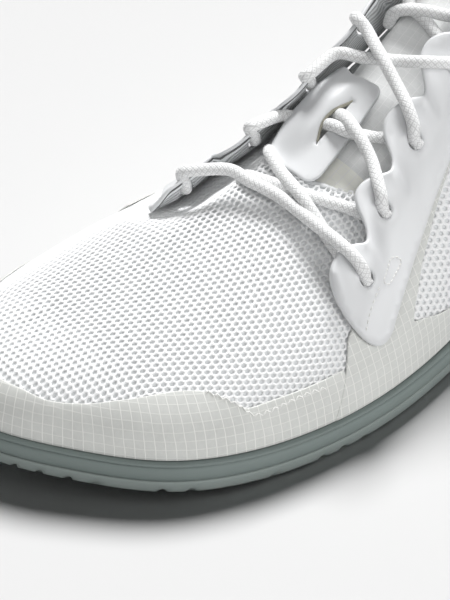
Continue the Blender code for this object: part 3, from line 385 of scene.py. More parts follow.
def sole_outline():
    """The sole's plan as a smooth loop from the heel along the outer side."""
    outer_side = [(outer, station) for station, outer, inner in reversed(SOLE_PLAN)]
    inner_side = [(inner, station) for station, outer, inner in SOLE_PLAN]
    return closed_spline([(0, LENGTH), *outer_side, *TOE_END, *inner_side])


def inset(loop, distance):
    """The loop moved inwards by a distance."""
    ahead = unit(np.roll(loop, -1, 0) - np.roll(loop, 1, 0))
    return loop + distance * np.stack([ahead[:, 1], -ahead[:, 0]], 1)


def halves(loop):
    """Both sides of a closed loop, each from toe tip to heel."""
    tip = int(np.argmin(loop[:, 1]))
    return loop[:tip + 1][::-1], np.concatenate([loop[tip:], loop[:1]])


def spring(t):
    """Rise of the sole off the ground at a station: toe, arch and heel."""
    t = np.asarray(t, float)
    toe = 7.0 * np.clip(1 - t / 85.0, 0, None) ** 2
    heel = 2.0 * np.clip((t - 262.0) / (LENGTH - 262.0), 0, None) ** 2
    middle = np.clip((t - 148.0) / 64.0, 0, 1)
    return toe + heel + 0.9 * np.sin(np.pi * middle) ** 2


OUTLINE = sole_outline()
FEATHER = halves(inset(OUTLINE, FEATHER_INSET))


def section(side, w):
    """Columns of a side's section table at w: top point, rise, lean, reach, tilt."""
    places, *columns = SECTIONS[side].T
    return [monotone(places, column, w) for column in columns]


def side_surface(side, w, v):
    """Points of the last's outside on one side."""
    plan = along(FEATHER[side], w)
    foot = np.concatenate([plan, (FEATHER_Z + spring(plan[..., 1]))[..., None]], -1)
    values = section(side, w)
    top = np.stack(values[:3], -1)
    rise, lean, reach, tilt = values[3:7]
    before = section(side, np.clip(w - 0.02, 0, 1))
    after = section(side, np.clip(w + 0.02, 0, 1))
    across = unit(top[..., :2] - plan)
    run = np.maximum(np.abs(after[1] - before[1]), 1e-3)
    ridge = np.clip((after[2] - before[2]) / run, 0, 1.0) * np.clip(1 - tilt / 40, 0, 1)
    angle = np.radians(tilt)
    up = np.sin(angle) + ridge * across[..., 1] * np.cos(angle)
    arrive = np.concatenate([across * np.cos(angle)[..., None], up[..., None]], -1)
    leave = np.concatenate([-across * lean[..., None], np.ones_like(lean)[..., None]], -1)
    low = foot + leave * rise[..., None]
    high = top - arrive * reach[..., None]
    v = v[..., None]
    return (1 - v)**3 * foot + 3 * (1 - v)**2 * v * low + 3 * (1 - v) * v**2 * high + v**3 * top


def last(u, v):
    """Points of the last at signed places u along the sole's edge."""
    u, v = np.broadcast_arrays(np.asarray(u, float), np.asarray(v, float))
    u = np.where(u > 1, u - 2, np.where(u < -1, u + 2, u))
    points = np.empty(u.shape + (3,))
    for side, mask in ((OUTER, u >= 0), (INNER, u < 0)):
        if mask.any():
            points[mask] = side_surface(side, np.abs(u[mask]), v[mask])
    return points


def last_normal(u, v, step=3e-3):
    """Outward normals of the last."""
    u, v = np.broadcast_arrays(np.asarray(u, float), np.asarray(v, float))
    forward = last(u + step, v) - last(u - step, v)
    upward = last(u, np.clip(v + step, 0, 1)) - last(u, np.clip(v - step, 0, 1))
    normal = np.cross(forward, upward)
    folded = (np.abs(u) < 0.05) & (v > 0.9) & (normal[..., 2] < 0)
    return unit(np.where(folded[..., None], -normal, normal))


def skin(u, v, height):
    """Points at a height above the last's surface."""
    u, v = np.broadcast_arrays(np.asarray(u, float), np.asarray(v, float))
    return last(u, v) + last_normal(u, v) * (np.asarray(height, float) - hollow(u, v))[..., None]


def hollow(u, v):
    """How far the soft cloth beside the inner eyestay sinks below the last."""
    w = np.abs(u)
    sunk = 6.0 * ease((0.985 - v) / 0.20) * ease((v - 0.30) / 0.35)
    return np.where(u < 0, sunk * ease((w - 0.27) / 0.08) * ease((0.76 - w) / 0.11), 0.0)


def row_place(side, row):
    """Place w of a section's row number, which may be fractional."""
    places = SECTIONS[side][:, 0]
    return np.interp(row, np.arange(len(places)), places)


def dorsal(row, across, height):
    """Points over the instep: at section rows, a distance across from the ridge."""
    row, across, height = np.broadcast_arrays(
        np.asarray(row, float), np.asarray(across, float), np.asarray(height, float))
    u = np.where(across >= 0, row_place(OUTER, row), -row_place(INNER, row))
    reach = np.where(across >= 0, section(OUTER, np.abs(u))[5], section(INNER, np.abs(u))[5])
    return skin(u, 1 - np.abs(across) / (3 * reach), height)


def ridge_row(station):
    """Row number of the ridge's section at a station."""
    return np.interp(station, SECTIONS[OUTER][:RIDGE_ROWS, 2], np.arange(RIDGE_ROWS))


def stay_front(side, w):
    """Lobed free edge of an eyestay."""
    lobes = LOBES[side]
    notches = [(lobe[0], lobe[1]) for lobe in lobes] + [STAY_END[side]]
    for k, lobe in enumerate(lobes):
        start, end = notches[k], notches[k + 1]
        if w <= end[0] or k == len(lobes) - 1:
            f = min(max((w - start[0]) / (end[0] - start[0]), 0.0), 1.0)
            line = start[1] + (end[1] - start[1]) * f
            if side == INNER:
                line += 0.045 * float(ease((w - 0.385) / 0.10))
            return line + lobe[4] * math.sin(math.pi * f**0.72) ** 0.75
    return notches[-1][1]


def stay_height(side, w, v):
    """Underside of the eyestay above the last: flat at its foot, raised at the lobes."""
    low = float(edge(STAY_FOOT[side], w))
    high = stay_front(side, w)
    start = low + 0.35 * (high - low)
    f = min(max((v - start) / max(high - start, 1e-3), 0.0), 1.0)
    begin = LOBES[side][0][0]
    ramp = min(max((w - begin) / STAY_RAMP[side], 0.0), 1.0)
    curl = 0.0
    if side == INNER:
        curl = 4.4 * float(ease((w - 0.290) / 0.032)) - 1.8 * float(ease((w - 0.360) / 0.05))
        curl *= float(ease(1 - (high - v) * 85 / 5.6))
    lift = STAY_LIFT[side] * (1.0 if side == OUTER else 0.72)
    return STAY_LOW + lift * ramp * f * f * (3 - 2 * f) + curl


def lace_hole(side, number):
    """Place (w, v) of a lace hole."""
    _, _, w, v, _ = LOBES[side][number]
    return w, (v if side == OUTER else stay_front(INNER, w) - 0.052)


def each_side(u, value):
    """value(side, w) of the side on which each signed place u lies."""
    w = np.abs(u)
    return np.where(np.asarray(u) >= 0, value(OUTER, w), value(INNER, w))


def throat(u):
    """Upper edge v of the cloth at signed places u."""
    return each_side(u, lambda side, w: edge(THROAT[side], w))


class Flat:
    """Millimetre coordinates on the last: arc lengths along it and up it."""
    HALF, HIGH = 400, 120

    def __init__(self):
        self.places = np.linspace(-1, 1, 2 * self.HALF + 1)
        self.heights = np.linspace(0, 1, self.HIGH + 1)
        grid = last(self.places[:, None], self.heights[None])
        self.run = travel(grid[:, self.HIGH // 4])
        self.run -= np.interp(0, self.places, self.run)
        rise = np.linalg.norm(np.diff(grid, axis=1), axis=2)
        self.rise = np.concatenate([np.zeros((len(self.places), 1)), np.cumsum(rise, 1)], 1)

    def to_flat(self, u, v):
        """Arc lengths in mm at (u, v)."""
        i = np.interp(u, self.places, np.arange(len(self.places)))
        i = np.clip(i, 0, 2 * self.HALF - 0.001)
        j = np.clip(np.asarray(v, float) * self.HIGH, 0, self.HIGH - 0.001)
        return np.interp(u, self.places, self.run), bilinear(self.rise, i, j)

    def to_last(self, run, rise):
        """(u, v) at arc lengths in mm."""
        u = np.interp(run, self.run, self.places)
        column = np.clip(np.round((u + 1) * self.HALF).astype(int), 0, 2 * self.HALF)
        v = np.array([np.interp(r, self.rise[c], self.heights) for c, r in zip(column, rise)])
        return u, v


class Vamp:
    """The vamp laid flat: distance across from the ridge, and station."""
    STEP, RAY_STEP, SMOOTHING = 1.5, 0.4, 3

    def __init__(self):
        places = np.linspace(-0.62, 0.62, 521)
        heights = np.linspace(0.04, 1, 141)
        grid = skin(places[:, None], heights[None], 0.0)
        width = len(heights)
        corner = np.arange(len(places) - 1)[:, None] * width + np.arange(width - 1)[None]
        quads = np.stack([corner, corner + width, corner + width + 1, corner + 1], -1).reshape(-1, 4)
        tree = BVHTree.FromPolygons(grid.reshape(-1, 3).tolist(), quads.tolist())
        ridge = SECTIONS[OUTER][:RIDGE_ROWS]
        self.stations = np.arange(3.0, 136.0, self.STEP)
        self.across = np.arange(-66.0, 66.1, 1.0)
        self.points = np.full((len(self.stations), len(self.across), 3), np.nan)
        self.places = np.full((len(self.stations), len(self.across), 2), np.nan)
        for k, t in enumerate(self.stations):
            middle = float(np.interp(t, ridge[:, 2], ridge[:, 1]))
            for way in (-1, 1):
                line, marks = [], []
                for n in range(190):
                    x = middle + way * self.RAY_STEP * n
                    hit = tree.ray_cast(Vector((x, t, 200)), Vector((0, 0, -1)))
                    if hit[0] is None:
                        break
                    line.append(tuple(hit[0]))
                    i, j = divmod(hit[2], width - 1)
                    marks.append((places[i:i + 2].mean(), heights[j:j + 2].mean()))
                if len(line) < 4:
                    continue
                line, marks = np.array(line), np.array(marks)
                far = travel(line)
                chosen = (self.across * way >= 0) & (np.abs(self.across) <= far[-1])
                at = np.abs(self.across[chosen])
                self.points[k, chosen] = read_line(line, far, at)
                near = np.clip(np.searchsorted(far, at), 0, len(far) - 1)
                self.places[k, chosen] = marks[near]
        for _ in range(self.SMOOTHING):
            smooth = self.points.copy()
            smooth[1:-1] = (self.points[:-2] + self.points[1:-1] * 2 + self.points[2:]) / 4
            smooth[:, 1:-1] = (smooth[:, :-2] + smooth[:, 1:-1] * 2 + smooth[:, 2:]) / 4
            self.points = np.where(np.isnan(smooth), self.points, smooth)

    def cell(self, across, station):
        """Fractional row and column of flat points."""
        i = np.clip((station - self.stations[0]) / self.STEP, 0, len(self.stations) - 1.001)
        j = np.clip(across - self.across[0], 0, len(self.across) - 1.001)
        return i, j

    def place(self, across, station):
        """Nearest (u, v) of flat points, or nan off the vamp."""
        i, j = self.cell(across, station)
        return self.places[np.round(i).astype(int), np.round(j).astype(int)]

    def point(self, across, station):
        return bilinear(self.points, *self.cell(across, station))

    def skin(self, across, station, height):
        """Points at a height over the vamp at flat points."""
        sideways = self.point(across + 1.2, station) - self.point(across - 1.2, station)
        ahead = self.point(across, station + 1.6) - self.point(across, station - 1.6)
        return self.point(across, station) + unit(np.cross(sideways, ahead)) * height


# Meshes
def to_world(points):
    """Millimetres (across, station, height) to metres in the row's frame."""
    points = np.asarray(points, float)
    return np.stack([points[..., 0] - CENTRE_X, points[..., 1] - CENTRE_T, points[..., 2]], -1) * MM


def mesh_object(name, points, faces, flat=None):
    """Object from points in mm, with a UV map of flat coordinates in mm where given."""
    mesh = bpy.data.meshes.new(name)
    mesh.from_pydata(to_world(points).tolist(), [], [tuple(int(i) for i in f) for f in faces])
    if flat is not None:
        layer = mesh.uv_layers.new(name="flat")
        corners = np.empty(len(mesh.loops), int)
        mesh.loops.foreach_get("vertex_index", corners)
        layer.data.foreach_set("uv", np.asarray(flat, float)[corners].astype(np.float32).ravel())
    mesh.polygons.foreach_set("use_smooth", [True] * len(mesh.polygons))
    made = bpy.data.objects.new(name, mesh)
    bpy.context.scene.collection.objects.link(made)
    return made


def outward(made):
    """Turn all faces of a closed mesh outwards."""
    data = bmesh.new()
    data.from_mesh(made.data)
    bmesh.ops.remove_doubles(data, verts=data.verts, dist=2e-6)
    bmesh.ops.recalc_face_normals(data, faces=data.faces)
    data.to_mesh(made.data)
    data.free()
    return made


def settle(made, look, nodes=()):
    """Give a piece its finish, its body and the solids it stands for."""
    if look is not None:
        made.data.materials.clear()
        made.data.materials.append(look)
    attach(made, "root")
    if nodes:
        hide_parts(*nodes)
    return made


def grid_faces(rows, columns, start=0, closed=False):
    """Quads of a grid of points [row][column], the columns closed into a ring or not."""
    faces = []
    last_row = rows if closed else rows - 1
    for i in range(last_row):
        n = (i + 1) % rows
        for j in range(columns - 1):
            a, b = start + i * columns + j, start + n * columns + j
            faces.append((a, b, b + 1, a + 1))
    return faces


def ring_faces(rings, around):
    """Quads of the wall of a tube with points [ring][around]."""
    faces = []
    for low in range(0, (rings - 1) * around, around):
        high = low + around
        for j in range(around):
            n = (j + 1) % around
            faces.append((low + j, low + n, high + n, high + j))
    return faces


def loft(name, rings, flat):
    """Closed tube through rings of points [ring][around]."""
    count, around = rings.shape[:2]
    faces = ring_faces(count, around)
    faces.append(tuple(range(around))[::-1])
    faces.append(tuple((count - 1) * around + j for j in range(around)))
    return outward(mesh_object(name, rings.reshape(-1, 3), faces, flat))


def rod(name, line, side, top, width, thick, around, flat):
    """Tube of oval section round a line, its width along side and its thickness along top."""
    angle = np.linspace(0, 2 * np.pi, around, endpoint=False)
    rings = (line[:, None] + side[:, None] * (width * np.cos(angle))[None, :, None]
             + top[:, None] * (thick * np.sin(angle))[None, :, None])
    return loft(name, rings, flat)


def smooth_line(points, steps=8, closed=False):
    """Catmull-Rom curve through points of any dimension."""
    points = np.array(points, float)
    if closed:
        padded = np.concatenate([points[-1:], points, points[:2]])
    else:
        padded = np.concatenate([[2 * points[0] - points[1]], points, [2 * points[-1] - points[-2]]])
    path = []
    for i in range(1, len(padded) - 2):
        a, b, c, d = padded[i - 1:i + 3]
        for k in range(steps):
            f = k / steps
            path.append(0.5 * (2 * b + (c - a) * f + (2 * a - 5 * b + 4 * c - d) * f**2
                               + (3 * b - a - 3 * c + d) * f**3))
    if not closed:
        path.append(points[-1])
    return np.array(path)


def even(line, pitch, closed=False):
    """The line at even steps of about the pitch."""
    if closed:
        line = np.concatenate([line, line[:1]])
    far = travel(line)
    count = max(int(round(far[-1] / pitch)), 2)
    out = read_line(line, far, np.linspace(0, far[-1], count + 1))
    return out[:-1] if closed else out


def edge_distance(points, loops):
    """Distance of flat points to the nearest side of closed loops."""
    best = np.full(len(points), np.inf)
    for loop in loops:
        for start, end in zip(loop, np.roll(loop, -1, 0)):
            way = end - start
            f = np.clip(((points - start) @ way) / max(way @ way, 1e-12), 0, 1)
            best = np.minimum(best, np.linalg.norm(points - start - f[:, None] * way, axis=1))
    return best


def inside_loop(points, loop):
    """Which flat points lie inside a closed loop."""
    result = np.zeros(len(points), bool)
    for (ax, ay), (bx, by) in zip(loop, np.roll(loop, -1, 0)):
        crosses = (ay > points[:, 1]) != (by > points[:, 1])
        at = ax + (points[:, 1] - ay) / (by - ay if by != ay else 1e-12) * (bx - ax)
        result ^= crosses & (points[:, 0] < at)
    return result


def cut_sheet(name, outline, holes, place, base, thick, spacing, pitch, soft, to_flat=None, bead=0.0):
    """Film cut from flat stock: an outline with round holes, its top edges softened.

    place(points, height) lays flat points on the shoe, base(points) is the height of the
    film's underside there.
    """
    outline = even(np.array(outline, float), pitch, closed=True)
    loops = [outline] + [np.array(hole, float) for hole in holes]
    rings = []
    for number, loop in enumerate(loops):
        way = 1 if (turning(loop) > 0) == (number == 0) else -1
        for share in (0.16, 0.45, 1.0):
            ring = inset(loop, -way * soft * share)
            rings.append(ring[edge_distance(ring, loops) > soft * share * 0.9])
    low, high = outline.min(0), outline.max(0)
    columns = np.arange(low[0], high[0], spacing)
    lines = np.arange(low[1], high[1], spacing * 0.87)
    lattice = np.array([(x + (k % 2) * spacing / 2, y) for k, y in enumerate(lines) for x in columns])
    lattice = lattice[inside_loop(lattice, outline)]
    lattice = lattice[edge_distance(lattice, loops) > soft + 0.45 * spacing]
    points = np.concatenate(loops + rings + [lattice])
    bounds, start = [], 0
    for loop in loops:
        count = len(loop)
        bounds += [(start + i, start + (i + 1) % count) for i in range(count)]
        start += count
    found = delaunay_2d_cdt([Vector(p) for p in points.tolist()], bounds, [], 0, 1e-5)
    flat = np.array([tuple(p) for p in found[0]])
    triangles = np.array(found[2])
    middles = flat[triangles].mean(1)
    keep = inside_loop(middles, outline)
    for hole in loops[1:]:
        keep &= ~inside_loop(middles, hole)
    triangles = triangles[keep]
    far = edge_distance(flat, loops)
    f = np.clip(1 - far / soft, 0, 1)
    round_off = np.sqrt(np.clip(1 - f**2, 0, 1))
    under = base(flat)
    welt = bead * np.exp(-(((far - 0.75) / 0.45) ** 2))
    top = place(flat, under + thick * (0.42 + 0.58 * round_off) + welt)
    bottom = place(flat, under)
    count = len(flat)
    edges = {}
    for a, b, c in triangles:
        for pair in ((a, b), (b, c), (c, a)):
            edges[pair] = edges.get(pair, 0) + 1
    rim = [pair for pair in edges if (pair[1], pair[0]) not in edges]
    faces = [tuple(t) for t in triangles] + [tuple(t[::-1] + count) for t in triangles]
    faces += [(b, a, a + count, b + count) for a, b in rim]
    chart = flat if to_flat is None else to_flat(flat)
    made = mesh_object(name, np.concatenate([top, bottom]), faces, np.concatenate([chart, chart]))
    return outward(made)


def circle(centre, radius, stretch=(1.0, 1.0), count=22):
    """Loop of flat points round a hole."""
    angle = np.linspace(0, 2 * np.pi, count, endpoint=False)
    return np.stack([centre[0] + radius * stretch[0] * np.cos(angle),
                     centre[1] + radius * stretch[1] * np.sin(angle)], -1)


def honeycomb(name, first, second, low, high, keep, place):
    """Mesh of six-sided cells on a lattice with the two steps, laid on the shoe."""
    first, second = np.array(first, float), np.array(second, float)
    corners = [(1, 1), (2, -1), (1, -2), (-1, -1), (-2, 1), (-1, 2)]
    if first[0] * second[1] - first[1] * second[0] > 0:
        corners.reverse()
    shortest = min(np.linalg.norm(first), np.linalg.norm(second))
    reach = int(max(np.abs(low).max(), np.abs(high).max()) / shortest * 2) + 4
    i, j = np.meshgrid(np.arange(-reach, reach), np.arange(-reach, reach), indexing="ij")
    centres = i[..., None] * first + j[..., None] * second
    chosen = np.all((centres > low) & (centres < high), -1)
    i, j, centres = i[chosen], j[chosen], centres[chosen]
    good = keep(centres)
    i, j = i[good], j[good]
    numbers, order, faces = {}, [], []
    for a, b in zip(i.tolist(), j.tolist()):
        face = []
        for c, d in corners:
            key = (3 * a + c, 3 * b + d)
            if key not in numbers:
                numbers[key] = len(order)
                order.append(key)
            face.append(numbers[key])
        faces.append(face)
    keys = np.array(order, float) / 3
    flat = keys[:, :1] * first + keys[:, 1:] * second
    points = place(flat)
    good = ~np.isnan(points).any(1)
    faces = [f for f in faces if all(good[n] for n in f)]
    made = mesh_object(name, np.nan_to_num(points), faces, flat)
    data = bmesh.new()
    data.from_mesh(made.data)
    bmesh.ops.delete(data, geom=[v for v in data.verts if not v.link_faces], context="VERTS")
    data.to_mesh(made.data)
    data.free()
    return made


# Geometry nodes
def new_tree(name, inputs):
    """Empty geometry tree with named inputs (name, kind, default)."""
    tree = bpy.data.node_groups.new(name, "GeometryNodeTree")
    tree.interface.new_socket("Geometry", in_out="INPUT", socket_type="NodeSocketGeometry")
    for label, kind, default in inputs:
        socket = tree.interface.new_socket(label, in_out="INPUT", socket_type=kind)
        if default is not None:
            socket.default_value = default
    tree.interface.new_socket("Geometry", in_out="OUTPUT", socket_type="NodeSocketGeometry")
    enter = tree.nodes.new("NodeGroupInput")
    leave = tree.nodes.new("NodeGroupOutput")
    return tree, enter, leave


def step(tree, kind, settings=None, **values):
    """One node: its settings first, then the values or links of its inputs."""
    node = tree.nodes.new(kind)
    for label, value in (settings or {}).items():
        setattr(node, label, value)
    for label, value in values.items():
        socket = node.inputs[label.replace("_", " ")]
        if isinstance(value, bpy.types.NodeSocket):
            tree.links.new(value, socket)
        else:
            socket.default_value = value
    return node


def calculate(tree, operation, first, second):
    """Result of a maths node on a socket and a number."""
    node = step(tree, "ShaderNodeMath", {"operation": operation})
    tree.links.new(first, node.inputs[0])
    node.inputs[1].default_value = second
    return node.outputs[0]


def extrude(tree, mesh, **values):
    """Every chosen face pushed out on its own."""
    return step(tree, "GeometryNodeExtrudeMesh", {"mode": "FACES"}, Mesh=mesh, Individual=True, **values)


def scale_faces(tree, geometry, chosen, scale):
    """The chosen faces, each scaled about its middle."""
    node = step(tree, "GeometryNodeScaleElements", {"domain": "FACE"}, Geometry=geometry,
                Selection=chosen, Scale=scale)
    return node.outputs["Geometry"]


def finish_tree(tree, leave, mesh, material):
    """End of a tree: plain geometry with its material."""
    real = step(tree, "GeometryNodeRealizeInstances", Geometry=mesh)
    coloured = step(tree, "GeometryNodeSetMaterial", Geometry=real.outputs[0], Material=material)
    tree.links.new(coloured.outputs[0], leave.inputs[0])
    return tree


def perforate_tree():
    """Opens each cell of a mesh: its yarn slopes down from the cell's edge into a hole."""
    tree, enter, leave = new_tree("Perforate", [
        ("Open", "NodeSocketFloat", 0.6), ("Depth", "NodeSocketFloat", 0.0004),
        ("Finish", "NodeSocketMaterial", None)])
    opening, depth = enter.outputs["Open"], enter.outputs["Depth"]
    crest = extrude(tree, enter.outputs["Geometry"], Offset_Scale=calculate(tree, "MULTIPLY", depth, -0.22))
    narrow = scale_faces(tree, crest.outputs["Mesh"], crest.outputs["Top"],
                         calculate(tree, "POWER", opening, 0.48))
    deep = extrude(tree, narrow, Selection=crest.outputs["Top"],
                   Offset_Scale=calculate(tree, "MULTIPLY", depth, -0.78))
    hole = scale_faces(tree, deep.outputs["Mesh"], deep.outputs["Top"],
                       calculate(tree, "POWER", opening, 0.52))
    cut = step(tree, "GeometryNodeDeleteGeometry", {"domain": "FACE", "mode": "ALL"},
               Geometry=hole, Selection=deep.outputs["Top"])
    soft = step(tree, "GeometryNodeSetShadeSmooth", Geometry=cut.outputs[0], Shade_Smooth=True)
    return finish_tree(tree, leave, soft.outputs[0], enter.outputs["Finish"])


def raise_tree():
    """Raises each cell of a mesh into a lug with sloped sides."""
    tree, enter, leave = new_tree("Raise lugs", [
        ("Top", "NodeSocketFloat", 0.8), ("Height", "NodeSocketFloat", 0.0016),
        ("Finish", "NodeSocketMaterial", None)])
    groove = extrude(tree, enter.outputs["Geometry"], Offset_Scale=0.0)
    apart = scale_faces(tree, groove.outputs["Mesh"], groove.outputs["Top"], 0.88)
    lug = extrude(tree, apart, Selection=groove.outputs["Top"], Offset_Scale=enter.outputs["Height"])
    top = scale_faces(tree, lug.outputs["Mesh"], lug.outputs["Top"], enter.outputs["Top"])
    return finish_tree(tree, leave, top, enter.outputs["Finish"])


def stitch_tree():
    """Gives short lines, one for each stitch, a round thread."""
    tree, enter, leave = new_tree("Stitches", [
        ("Thread", "NodeSocketFloat", 0.0002), ("Finish", "NodeSocketMaterial", None)])
    line = step(tree, "GeometryNodeMeshToCurve", Mesh=enter.outputs["Geometry"])
    ring = step(tree, "GeometryNodeCurvePrimitiveCircle", {"mode": "RADIUS"}, Resolution=6,
                Radius=enter.outputs["Thread"])
    tube = step(tree, "GeometryNodeCurveToMesh", Curve=line.outputs[0],
                Profile_Curve=ring.outputs["Curve"], Fill_Caps=True)
    soft = step(tree, "GeometryNodeSetShadeSmooth", Geometry=tube.outputs[0], Shade_Smooth=True)
    return finish_tree(tree, leave, soft.outputs[0], enter.outputs["Finish"])


def apply_tree(made, tree, values):
    """Run a geometry tree on an object and keep the result as its plain mesh."""
    modifier = made.modifiers.new("tree", "NODES")
    modifier.node_group = tree
    inputs = [item for item in tree.interface.items_tree if item.in_out == "INPUT"]
    names = {item.name: item.identifier for item in inputs}
    for label, value in values.items():
        modifier[names[label]] = value
    view = bpy.context.evaluated_depsgraph_get()
    view.update()
    result = bpy.data.meshes.new_from_object(made.evaluated_get(view), depsgraph=view)
    made.modifiers.clear()
    made.data = result
    return made


# Shader maths
def arithmetic(operation, swapped=False):
    """Python operator of a Term that becomes a maths node."""
    def operate(self, other):
        first, second = (other, self) if swapped else (self, other)
        return self.look.maths(operation, first, second)
    return operate


class Term:
    """A shader socket that takes part in Python arithmetic."""

    def __init__(self, look, socket):
        self.look = look
        self.socket = socket

    __add__, __radd__ = arithmetic("ADD"), arithmetic("ADD", True)
    __sub__, __rsub__ = arithmetic("SUBTRACT"), arithmetic("SUBTRACT", True)
    __mul__, __rmul__ = arithmetic("MULTIPLY"), arithmetic("MULTIPLY", True)
    __truediv__ = arithmetic("DIVIDE")
    __gt__, __lt__ = arithmetic("GREATER_THAN"), arithmetic("LESS_THAN")


class Look:
    """A Principled material that is built from expressions."""

    def __init__(self, name, base, rough, **constants):
        self.material = bpy.data.materials.new(name)
        self.material.use_nodes = True
        self.tree = self.material.node_tree
        self.shader = self.tree.nodes["Principled BSDF"]
        self.material.diffuse_color = (*base, 1.0)
        self.set("Base Color", (*base, 1.0))
        self.set("Roughness", rough)
        for label, value in constants.items():
            self.set(label.replace("_", " "), value)

    def node(self, kind, settings=None, output=0, **values):
        """Any node: its settings first, then the values or links of its inputs."""
        made = self.tree.nodes.new(kind)
        for label, value in (settings or {}).items():
            setattr(made, label, value)
        for label, value in values.items():
            number = label[1:]
            key = int(number) if label[0] == "i" and number.isdigit() else label.replace("_", " ")
            self.feed(made.inputs[key], value)
        return Term(self, made.outputs[output])

    def feed(self, socket, value):
        if isinstance(value, Term):
            self.tree.links.new(value.socket, socket)
        else:
            socket.default_value = value

    def set(self, label, value):
        self.feed(self.shader.inputs[label], value)

    def maths(self, operation, *values):
        inputs = {"i" + str(k): value for k, value in enumerate(values)}
        return self.node("ShaderNodeMath", {"operation": operation}, **inputs)

    def wave(self, x):
        return self.maths("SINE", x)

    def mix(self, factor, first, second):
        """Colour between two colours."""
        made = self.tree.nodes.new("ShaderNodeMix")
        made.data_type = "RGBA"
        for number, value in ((0, factor), (6, first), (7, second)):
            self.feed(made.inputs[number], (*value, 1.0) if isinstance(value, tuple) else value)
        return Term(self, made.outputs[2])

    def flat(self):
        """The piece's flat coordinates in mm."""
        chart = self.node("ShaderNodeUVMap", {"uv_map": "flat"})
        made = self.tree.nodes.new("ShaderNodeSeparateXYZ")
        self.feed(made.inputs[0], chart)
        return Term(self, made.outputs[0]), Term(self, made.outputs[1])

    def space(self, scale=1.0):
        """The piece's place, in units of mm times scale."""
        place = self.node("ShaderNodeTexCoord", output=3)
        return self.node("ShaderNodeVectorMath", {"operation": "MULTIPLY"}, i0=place,
                         i1=(1000 * scale, 1000 * scale, 1000 * scale))

    def noise(self, vector, scale, detail=2.0):
        return self.node("ShaderNodeTexNoise", Vector=vector, Scale=scale, Detail=detail)

    def line(self, x, pitch, width):
        """1 on lines across x at each pitch, with soft edges."""
        phase = self.maths("PINGPONG", x, pitch / 2)
        share = self.maths("MAXIMUM", 0.0, (width - phase) / (width * 0.45))
        return self.maths("SMOOTH_MIN", 1.0, share, 0.2)

    def bump(self, height, strength, distance):
        self.set("Normal", self.node("ShaderNodeBump", Height=height, Strength=strength, Distance=distance))


def tone(colour, factor):
    return tuple(min(channel * factor, 1.0) for channel in colour)


def knit_look(name, base):
    """Matt yarn with a fine grain."""
    look = Look(name, base, 0.72, Sheen_Weight=0.25, Sheen_Roughness=0.5)
    grain = look.noise(look.space(), 5.0, 3.0)
    look.set("Base Color", look.mix(grain, tone(base, 0.93), tone(base, 1.04)))
    look.bump(look.noise(look.space(), 9.0), 0.25, 0.0001)
    return look.material


def weave_look(name, base, pitch, depth=0.25, sheen=0.2):
    """Plain fine weave on flat coordinates."""
    look = Look(name, base, 0.85, Sheen_Weight=sheen, Sheen_Roughness=0.5)
    x, y = look.flat()
    turn = 2 * math.pi / pitch
    weave = look.wave(x * turn) * look.wave(y * turn) * 0.5 + 0.5
    cloud = look.noise(look.space(), 0.16)
    shade = weave * 0.6 + cloud * 0.4
    look.set("Base Color", look.mix(shade, tone(base, 0.80), tone(base, 1.12)))
    look.bump(weave, depth, 0.0002)
    return look.material


def film_look(name, base, rough=0.36):
    """Smooth satin film: faint long clouds of tone and gloss."""
    look = Look(name, base, rough, Coat_Roughness=0.3, Specular_IOR_Level=0.45)
    cloud = look.noise(look.space(), 0.05, 3.0)
    look.set("Base Color", look.mix(cloud, tone(base, 0.95), tone(base, 1.03)))
    look.set("Roughness", cloud * 0.16 + (rough - 0.08))
    look.bump(look.noise(look.space(), 2.2), 0.10, 0.0001)
    return look.material


def ripstop_look(name, base, line_colour, pitch, width, haze=0.12, strip=None):
    """Thin translucent cloth or film with a raised grid of threads."""
    look = Look(name, base, 0.5, Sheen_Weight=0.1, Coat_Weight=0.15, Coat_Roughness=0.4)
    x, y = look.flat()
    wobble = look.noise(look.space(), 0.12, 3.0)
    turn = 2 * math.pi / 0.55
    fine = look.wave(x * turn) * look.wave(y * turn) * 0.5 + 0.5
    grid = look.maths("MAXIMUM", look.line(x + wobble * 0.8, pitch, width),
                      look.line(y + wobble * 0.8, pitch * 0.94, width) * 0.55)
    cloud = look.noise(look.space(), 0.09, 5.0) * 0.6 + look.noise(look.space(), 0.8, 3.0) * 0.4
    ground = look.mix(cloud, tone(base, 1 - haze * 1.6), tone(base, 1 + haze * 1.6))
    ground = look.mix(fine * 0.25, ground, tone(base, 1.18))
    if strip:
        until, strip_colour = strip
        ground = look.mix(y < until, ground, strip_colour)
    look.set("Base Color", look.mix(grid * 0.85, ground, line_colour))
    look.set("Roughness", 0.52 - grid * 0.08 + cloud * 0.1)
    look.bump(grid * 0.8 + fine * 0.2, 0.35, 0.00018)
    return look.material


def braid_look(name, base):
    """Round braid: two families of plaits crossing round the cord."""
    look = Look(name, base, 0.75, Sheen_Weight=0.3, Sheen_Roughness=0.5)
    x, y = look.flat()
    turn, run = x * (math.pi * 2), y * (math.pi / 0.85)
    right = look.maths("ABSOLUTE", look.wave(turn * 6.0 + run))
    left = look.maths("ABSOLUTE", look.wave(turn * 6.0 - run))
    over = look.wave(turn * 6.0) * look.wave(run) > 0.0
    plait = right * over + left * (1 - over)
    thread = look.wave(turn * 60.0 + run * 6.0) * 0.5 + 0.5
    look.set("Base Color", look.mix(plait * 0.85 + thread * 0.15, tone(base, 0.74), tone(base, 1.10)))
    look.bump(plait * 0.9 + thread * 0.1, 0.6, 0.0003)
    return look.material


